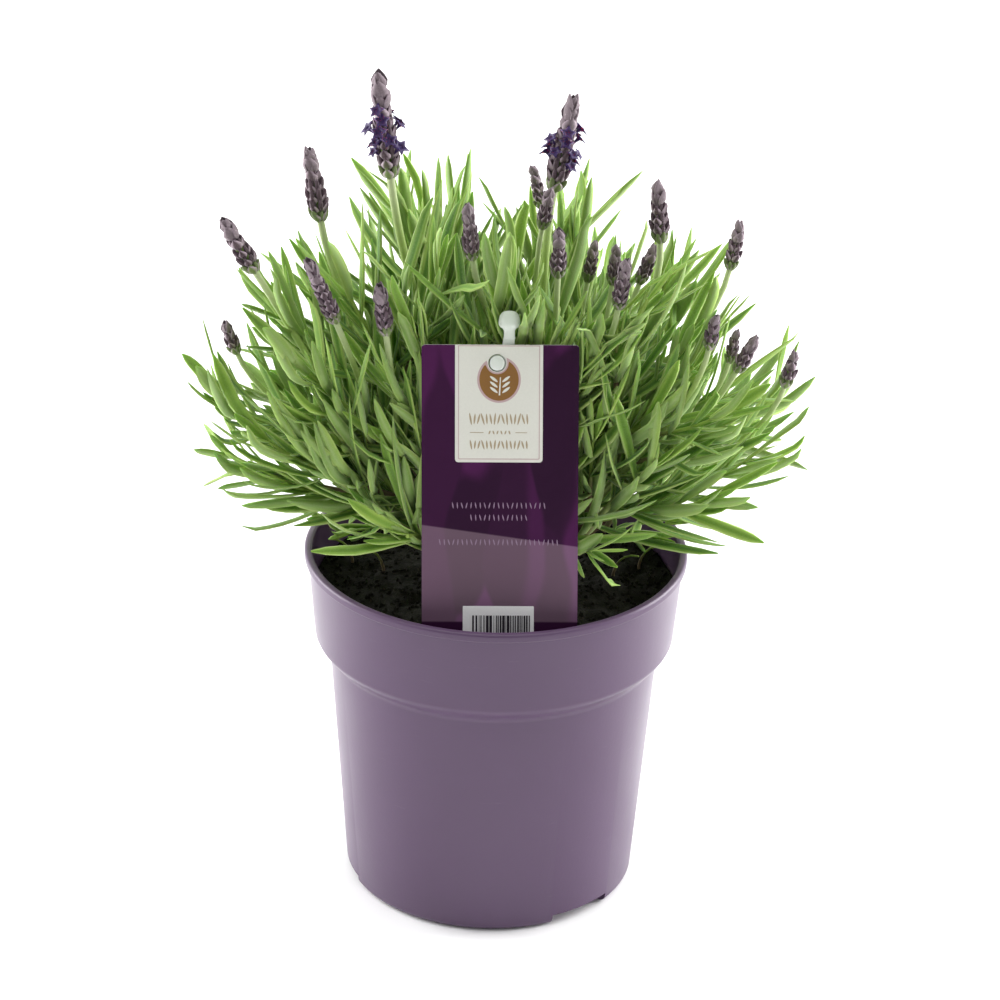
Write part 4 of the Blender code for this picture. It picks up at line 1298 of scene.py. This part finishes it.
def makeStemFinish():
    made, tree, shader = newFinish("greenStem")
    along = fromAttribute(tree, "stemAlong")
    patch = grain(tree, 200, 4)
    felt = grain(tree, 2400, 2)
    woody = mixed(tree, patch, (0.10, 0.065, 0.035), (0.26, 0.20, 0.11))
    green = mixed(tree, patch, (0.20, 0.33, 0.04), (0.34, 0.46, 0.10))
    colour = mixed(tree, span(tree, along, 0.25, 0.7, 0, 1, True), woody, green)
    painted(tree, shader, {"Base Color": colour,
                           "Roughness": span(tree, felt, 0.3, 0.7, 0.55, 0.75)})
    bumped(tree, shader, calc(tree, "ADD", felt, patch), 0.3, 0.0004)
    return made


def makeShoots():
    tree = leafyTree()
    section = leafSection()
    curtains = makeCurtains()
    leafFinish, stemFinish = makeLeafFinish(), makeStemFinish()
    shared = {**leaves, "Leaf Section": section, "Curtains": curtains,
              "Curtain Gap": curtainSizes["gap"], "Stem Finish": stemFinish, "Leaf Finish": leafFinish}
    total = 0
    for index in range(crown["shoots"]):
        nodeName = f"shoot_{index + 1:02d}"
        rng = random.Random(nodeName)
        target, heading = shootTarget(index)
        target += heading * rng.uniform(-0.010, 0.011)
        main = stemFromBase(startOf(nodeName), target, heading, 15)
        curve = newLines("stemLines")
        thick = crown["stemRadius"]
        addSpline(curve, main, [thick * (1.25 - 0.6 * i / 14) for i in range(15)])
        for line in twigLines(main, heading, rng):
            addSpline(curve, line, [thick * (0.8 - 0.3 * i / 6) for i in range(7)])
        source = newObject("stemLines", curve)
        values = {**shared, "Stem Lines": source, "Seed": 20 * index + 7}
        piece = growWith(tree, values, f"leafyShoot{index + 1:02d}")
        drop([source])
        total += len(piece.data.polygons)
        settle(piece, "leaf", nodeName)
    makeSprouts(tree, shared)
    drop([section, curtains])
    print("shoots made,", total, "faces")


# each low sprout's foot (x, y), its heading in degrees round Z and its length, in mm
sprouts = ((-49, 12, 190, 19), (-38, 4, 205, 22), (49, 13, 350, 19), (40, 5, 335, 21),
           (-18, 40, 120, 22), (24, 41, 60, 20))


def makeSprouts(tree, shared):
    # small shoots low over the soil, near the pot's side
    curve = newLines("sproutLines")
    for x, y, turn, long in sprouts:
        foot = Vector((x * 0.001, y * 0.001, 0.108))
        away = Vector((math.cos(math.radians(turn)), math.sin(math.radians(turn)), 0.0))
        reach = long * 0.001
        end = foot + away * reach * 0.45 + Vector((0, 0, reach * 0.55))
        line = bezierLine(foot, foot + Vector((0, 0, reach * 0.3)), end - away * reach * 0.3, end, 7)
        addSpline(curve, line, [0.0006 - 0.00005 * i for i in range(7)])
    source = newObject("sproutLines", curve)
    values = {**shared, "Stem Lines": source, "Curtain Gap": 0.0, "Leaf Length": 0.018,
              "Leaf Width": 0.0030, "Node Spacing": 0.0050, "Leafy Part": 0.016, "Seed": 5}
    piece = growWith(tree, values, "lowSprouts")
    drop([source])
    settle(piece, "leaf")


makeShoots()


# flower stems

def addAttribute(mesh, name, values):
    layer = mesh.attributes.new(name, "FLOAT", "POINT")
    layer.data.foreach_set("value", values)


def makeBud():
    # a calyx of unit length along +Z: an eight-ribbed tube, swollen in the middle
    rows = []
    for t, radius in ((0, 0.10), (0.18, 0.19), (0.45, 0.235), (0.72, 0.20), (0.92, 0.12), (1.0, 0.03)):
        row = []
        for i in range(8):
            rib = 1.0 if i % 2 else 0.84
            angle = math.tau * i / 8
            row.append((radius * rib * math.cos(angle), radius * rib * math.sin(angle), t))
        rows.append(row)
    mesh = latticeMesh("bud", rows)
    addAttribute(mesh, "budAlong", [v.co.z for v in mesh.vertices])
    addAttribute(mesh, "budEdge", [float(i % 8 % 2) for i in range(48)])
    return newObject("bud", mesh)


def makeBract():
    # a pointed scale of unit length along +Z, cupped, with its back to +X
    rows = []
    for t, half in ((0, 0.16), (0.25, 0.37), (0.5, 0.42), (0.75, 0.27), (1.0, 0.03)):
        front, rear = [], []
        for k in (-1.0, -0.5, 0.0, 0.5, 1.0):
            depth = 0.16 * math.sin(math.pi * min(1, t * 0.9)) - 0.22 * k * k * half / 0.42
            front.append((depth + 0.025, half * k, t))
            rear.append((depth - 0.025, half * k, t))
        rows.append(front + list(reversed(rear)))
    mesh = latticeMesh("bract", rows)
    addAttribute(mesh, "budAlong", [v.co.z for v in mesh.vertices])
    edges = [1.0, 0.5, 0.0, 0.5, 1.0, 1.0, 0.5, 0.0, 0.5, 1.0] * 5
    addAttribute(mesh, "budEdge", edges)
    return newObject("bract", mesh)


def makeFloret():
    # a small five-lobed flower of unit length along +Z
    rows = []
    for t, radius, flare in ((0, 0.10, 0), (0.55, 0.13, 0), (0.80, 0.20, 0.05), (0.93, 0.44, 0.20),
                             (0.86, 0.60, 0.34), (0.88, 0.40, 0.2), (0.74, 0.12, 0.0)):
        row = []
        for i in range(10):
            angle = math.tau * i / 10
            lobe = radius + (flare if i % 2 else -flare * 0.35)
            row.append((lobe * math.cos(angle), lobe * math.sin(angle), t))
        rows.append(row)
    mesh = latticeMesh("floret", rows)
    addAttribute(mesh, "budAlong", [min(1.0, i // 10 / 5) for i in range(70)])
    return newObject("floret", mesh)


def spikeTree():
    tree, given = newTree("flowerStem", [
        ("Stalk Line", "Object"), ("Spike Line", "Object"), ("Bud", "Object"), ("Bract", "Object"),
        ("Floret", "Object"), ("Spike Radius", 0.004), ("Whorl Spacing", 0.0031),
        ("Bud Length", 0.0054), ("Openness", 0.0), ("Seed", 1), ("Stalk Finish", "Material"),
        ("Bud Finish", "Material"), ("Bract Finish", "Material"), ("Petal Finish", "Material")])
    seed = given["Seed"]
    factor = addNode(tree, "GeometryNodeSplineParameter").outputs["Factor"]
    stalk = store(tree, curveFrom(tree, given["Stalk Line"]), "stemAlong", factor)
    core = curveFrom(tree, given["Spike Line"])
    radius = addNode(tree, "GeometryNodeInputRadius").outputs[0]
    stalkTube = tubeAlong(tree, stalk, 8, radius)
    coreTube = tubeAlong(tree, store(tree, core, "stemAlong", factor), 8, radius)
    points = placesAlong(tree, core, given["Whorl Spacing"], "spike")
    axis = named(tree, "spikeWay", "FLOAT_VECTOR")
    along = named(tree, "spikeAlong")
    outline = profileCurve(tree, along, ((0, 0.72), (0.16, 1.0), (0.50, 0.90), (0.70, 0.62),
                                         (0.86, 0.55), (1, 0.26)))
    girth = calc(tree, "MULTIPLY", outline, given["Spike Radius"])

    def ranked(count, stepTurn, wobble, openLow, openTop, inset, drop, length, width, shapeSocket,
               keep, offset):
        spread = repeated(tree, points, count, "rank")
        turn = calc(tree, "MULTIPLY", named(tree, "rank"), math.tau / count)
        turn = calc(tree, "MULTIPLY_ADD", named(tree, "spikeNode"), stepTurn, turn)
        turn = calc(tree, "ADD", turn, randomly(tree, -wobble, wobble, seed, offset))
        side = turnedAbout(tree, named(tree, "spikeSide", "FLOAT_VECTOR"), axis, turn)
        opened = calc(tree, "ADD", span(tree, along, 0.0, 1.0, openLow, openTop),
                      randomly(tree, -0.10, 0.10, seed, offset + 1))
        way = leaned(tree, axis, side, opened)
        pose = addNode(tree, "FunctionNodeAxesToRotation",
                       {"Primary Axis": way, "Secondary Axis": side},
                       primary_axis="Z", secondary_axis="X").outputs[0]
        size = calc(tree, "MULTIPLY", length, randomly(tree, 0.85, 1.15, seed, offset + 2))
        shape = addNode(tree, "ShaderNodeCombineXYZ",
                        {"X": calc(tree, "MULTIPLY", size, width),
                         "Y": calc(tree, "MULTIPLY", size, width), "Z": size}).outputs[0]
        spread = store(tree, spread, "budTone", randomly(tree, 0.0, 1.0, seed, offset + 3))
        base = vectorCalc(tree, "ADD", scaled(tree, side, calc(tree, "MULTIPLY", girth, inset)),
                          scaled(tree, axis, drop))
        made = addNode(tree, "GeometryNodeInstanceOnPoints",
                       {"Points": shifted(tree, spread, base), "Selection": keep,
                        "Instance": curveFrom(tree, shapeSocket), "Rotation": pose,
                        "Scale": shape})
        return addNode(tree, "GeometryNodeRealizeInstances", {0: made.outputs[0]}).outputs[0]

    notTop = calc(tree, "LESS_THAN", along, 0.93)
    buds = ranked(8, 0.0, 0.10, 0.46, 0.06, 0.42, -0.0004, given["Bud Length"], 0.90, given["Bud"],
                  notTop, 20)
    bractLength = calc(tree, "MULTIPLY", given["Bud Length"], span(tree, along, 0.55, 0.8, 0.84, 1.3))
    bracts = ranked(4, 0.0, 0.08, 0.34, 0.03, 0.56, -0.0008, bractLength, 0.98, given["Bract"],
                    True, 30)
    chance = calc(tree, "MULTIPLY", given["Openness"],
                  calc(tree, "MULTIPLY", span(tree, along, 0.12, 0.22, 0.0, 1.0),
                       span(tree, along, 0.66, 0.76, 1.0, 0.0)))
    shown = calc(tree, "LESS_THAN", randomly(tree, 0.0, 1.0, seed, 44),
                 calc(tree, "MULTIPLY", chance, 0.45))
    florets = ranked(8, 0.45, 0.35, 0.95, 0.60, 0.50, 0.0006,
                     calc(tree, "MULTIPLY", given["Bud Length"], 1.10), 0.62, given["Floret"],
                     shown, 50)
    return finishTree(tree, [(stalkTube, given["Stalk Finish"]), (coreTube, given["Bud Finish"]),
                             (buds, given["Bud Finish"]), (bracts, given["Bract Finish"]),
                             (florets, given["Petal Finish"])])


def makeBudFinish():
    made, tree, shader = newFinish("calyxDown")
    along = fromAttribute(tree, "budAlong")
    edge = fromAttribute(tree, "budEdge")
    up = fromAttribute(tree, "spikeAlong")
    tone = fromAttribute(tree, "budTone")
    down = grain(tree, 2200, 3)
    dark = mixed(tree, tone, (0.030, 0.011, 0.020), (0.062, 0.028, 0.044))
    body = layered(tree, dark, (span(tree, along, 0.0, 0.35, 1.0, 0.0), (0.11, 0.12, 0.06)),
                   (span(tree, up, 0.02, 0.12, 1.0, 0.0, True), (0.12, 0.19, 0.035)),
                   (calc(tree, "MULTIPLY", edge, 0.30), (0.22, 0.155, 0.19)),
                   (span(tree, down, 0.5, 0.75, 0.0, 0.22), (0.34, 0.27, 0.31)))
    painted(tree, shader, {"Base Color": body, "Roughness": 0.8, "Sheen Weight": 0.12,
                           "Sheen Roughness": 0.6})
    bumped(tree, shader, down, 0.5, 0.0003)
    return made


def makeBractFinish():
    made, tree, shader = newFinish("mauveBract")
    along = fromAttribute(tree, "budAlong")
    edge = fromAttribute(tree, "budEdge")
    up = fromAttribute(tree, "spikeAlong")
    tone = fromAttribute(tree, "budTone")
    down = grain(tree, 1800, 3)
    body = mixed(tree, tone, (0.040, 0.016, 0.025), (0.075, 0.038, 0.052))
    rim = calc(tree, "MULTIPLY", span(tree, edge, 0.4, 0.95, 0.0, 0.9),
               span(tree, up, 0.6, 0.85, 1.0, 0.25))
    body = layered(tree, body,
                   (span(tree, up, 0.55, 0.80, 0.0, 1.0, True), (0.150, 0.112, 0.128)),
                   (span(tree, up, 0.02, 0.16, 1.0, 0.0, True), (0.150, 0.215, 0.050)),
                   (rim, (0.46, 0.36, 0.42)),
                   (span(tree, along, 0.8, 1.0, 0.0, 0.4), (0.055, 0.030, 0.045)),
                   (span(tree, down, 0.5, 0.75, 0.0, 0.22), (0.38, 0.32, 0.36)))
    painted(tree, shader, {"Base Color": body, "Roughness": 0.75, "Sheen Weight": 0.1,
                           "Sheen Roughness": 0.6})
    bumped(tree, shader, down, 0.4, 0.0003)
    return made


def makePetalFinish():
    made, tree, shader = newFinish("violetPetal")
    along = fromAttribute(tree, "budAlong")
    vein = grain(tree, 1500, 3)
    body = mixed(tree, vein, (0.014, 0.004, 0.045), (0.040, 0.012, 0.110))
    body = mixed(tree, span(tree, along, 0.5, 1.0, 0.0, 0.35), body, (0.075, 0.026, 0.19))
    painted(tree, shader, {"Base Color": body, "Roughness": 0.55, "Subsurface Weight": 0.1,
                           "Subsurface Scale": 0.001})
    bumped(tree, shader, vein, 0.3, 0.0003)
    return made


def makeStalkFinish():
    made, tree, shader = newFinish("greenStalk")
    along = fromAttribute(tree, "stemAlong")
    patch = grain(tree, 160, 3)
    felt = grain(tree, 2400, 2)
    green = mixed(tree, patch, (0.29, 0.44, 0.08), (0.44, 0.57, 0.19))
    colour = layered(tree, green,
                     (span(tree, along, 0.75, 1.0, 0.0, 0.8, True), (0.50, 0.56, 0.33)),
                     (span(tree, along, 0.0, 0.35, 1.0, 0.0), (0.16, 0.12, 0.06)),
                     (span(tree, felt, 0.5, 0.75, 0.0, 0.3), (0.45, 0.52, 0.36)))
    painted(tree, shader, {"Base Color": colour, "Roughness": 0.65})
    bumped(tree, shader, felt, 0.3, 0.0003)
    return made


def makeFlowerStems():
    tree = spikeTree()
    bud, bract, floret = makeBud(), makeBract(), makeFloret()
    finishes = {"Stalk Finish": makeStalkFinish(), "Bud Finish": makeBudFinish(),
                "Bract Finish": makeBractFinish(), "Petal Finish": makePetalFinish()}
    total = 0
    for number, (x, y, z, long, lean, wide) in enumerate(spikes, 1):
        nodeName = f"flower_stem_{number:02d}"
        base, tip, way = spikeLine(x, y, z, long, lean)
        stalk = stemFromBase(startOf(nodeName), base, way, 16)
        stalkCurve = newLines("stalkLine")
        thick = stalkRadius * (0.90 + 0.45 * (wide - 5) / 4.4)
        addSpline(stalkCurve, stalk, [thick * (1.05 - 0.1 * i / 15) for i in range(16)])
        spikeCurve = newLines("spikeLine")
        girth = wide / 2 * 0.001
        share = (wide / 8.6) ** 0.6
        crownTip = tip - way * 0.0050 * share
        addSpline(spikeCurve, [base - way * 0.001, base.lerp(crownTip, 0.5), crownTip],
                  [girth * 0.45, girth * 0.5, girth * 0.25])
        helpers = [newObject("stalkLine", stalkCurve), newObject("spikeLine", spikeCurve)]
        values = {"Stalk Line": helpers[0], "Spike Line": helpers[1], "Bud": bud, "Bract": bract,
                  "Floret": floret, "Spike Radius": girth, "Whorl Spacing": 0.0031 * share,
                  "Bud Length": 0.0047 * share, "Openness": float(number in inFlower),
                  "Seed": number * 70, **finishes}
        piece = growWith(tree, values, f"flowerStem{number:02d}")
        drop(helpers)
        total += len(piece.data.polygons)
        settle(piece, "flower", nodeName)
    drop([bud, bract, floret])
    print("flower stems made,", total, "faces")


makeFlowerStems()
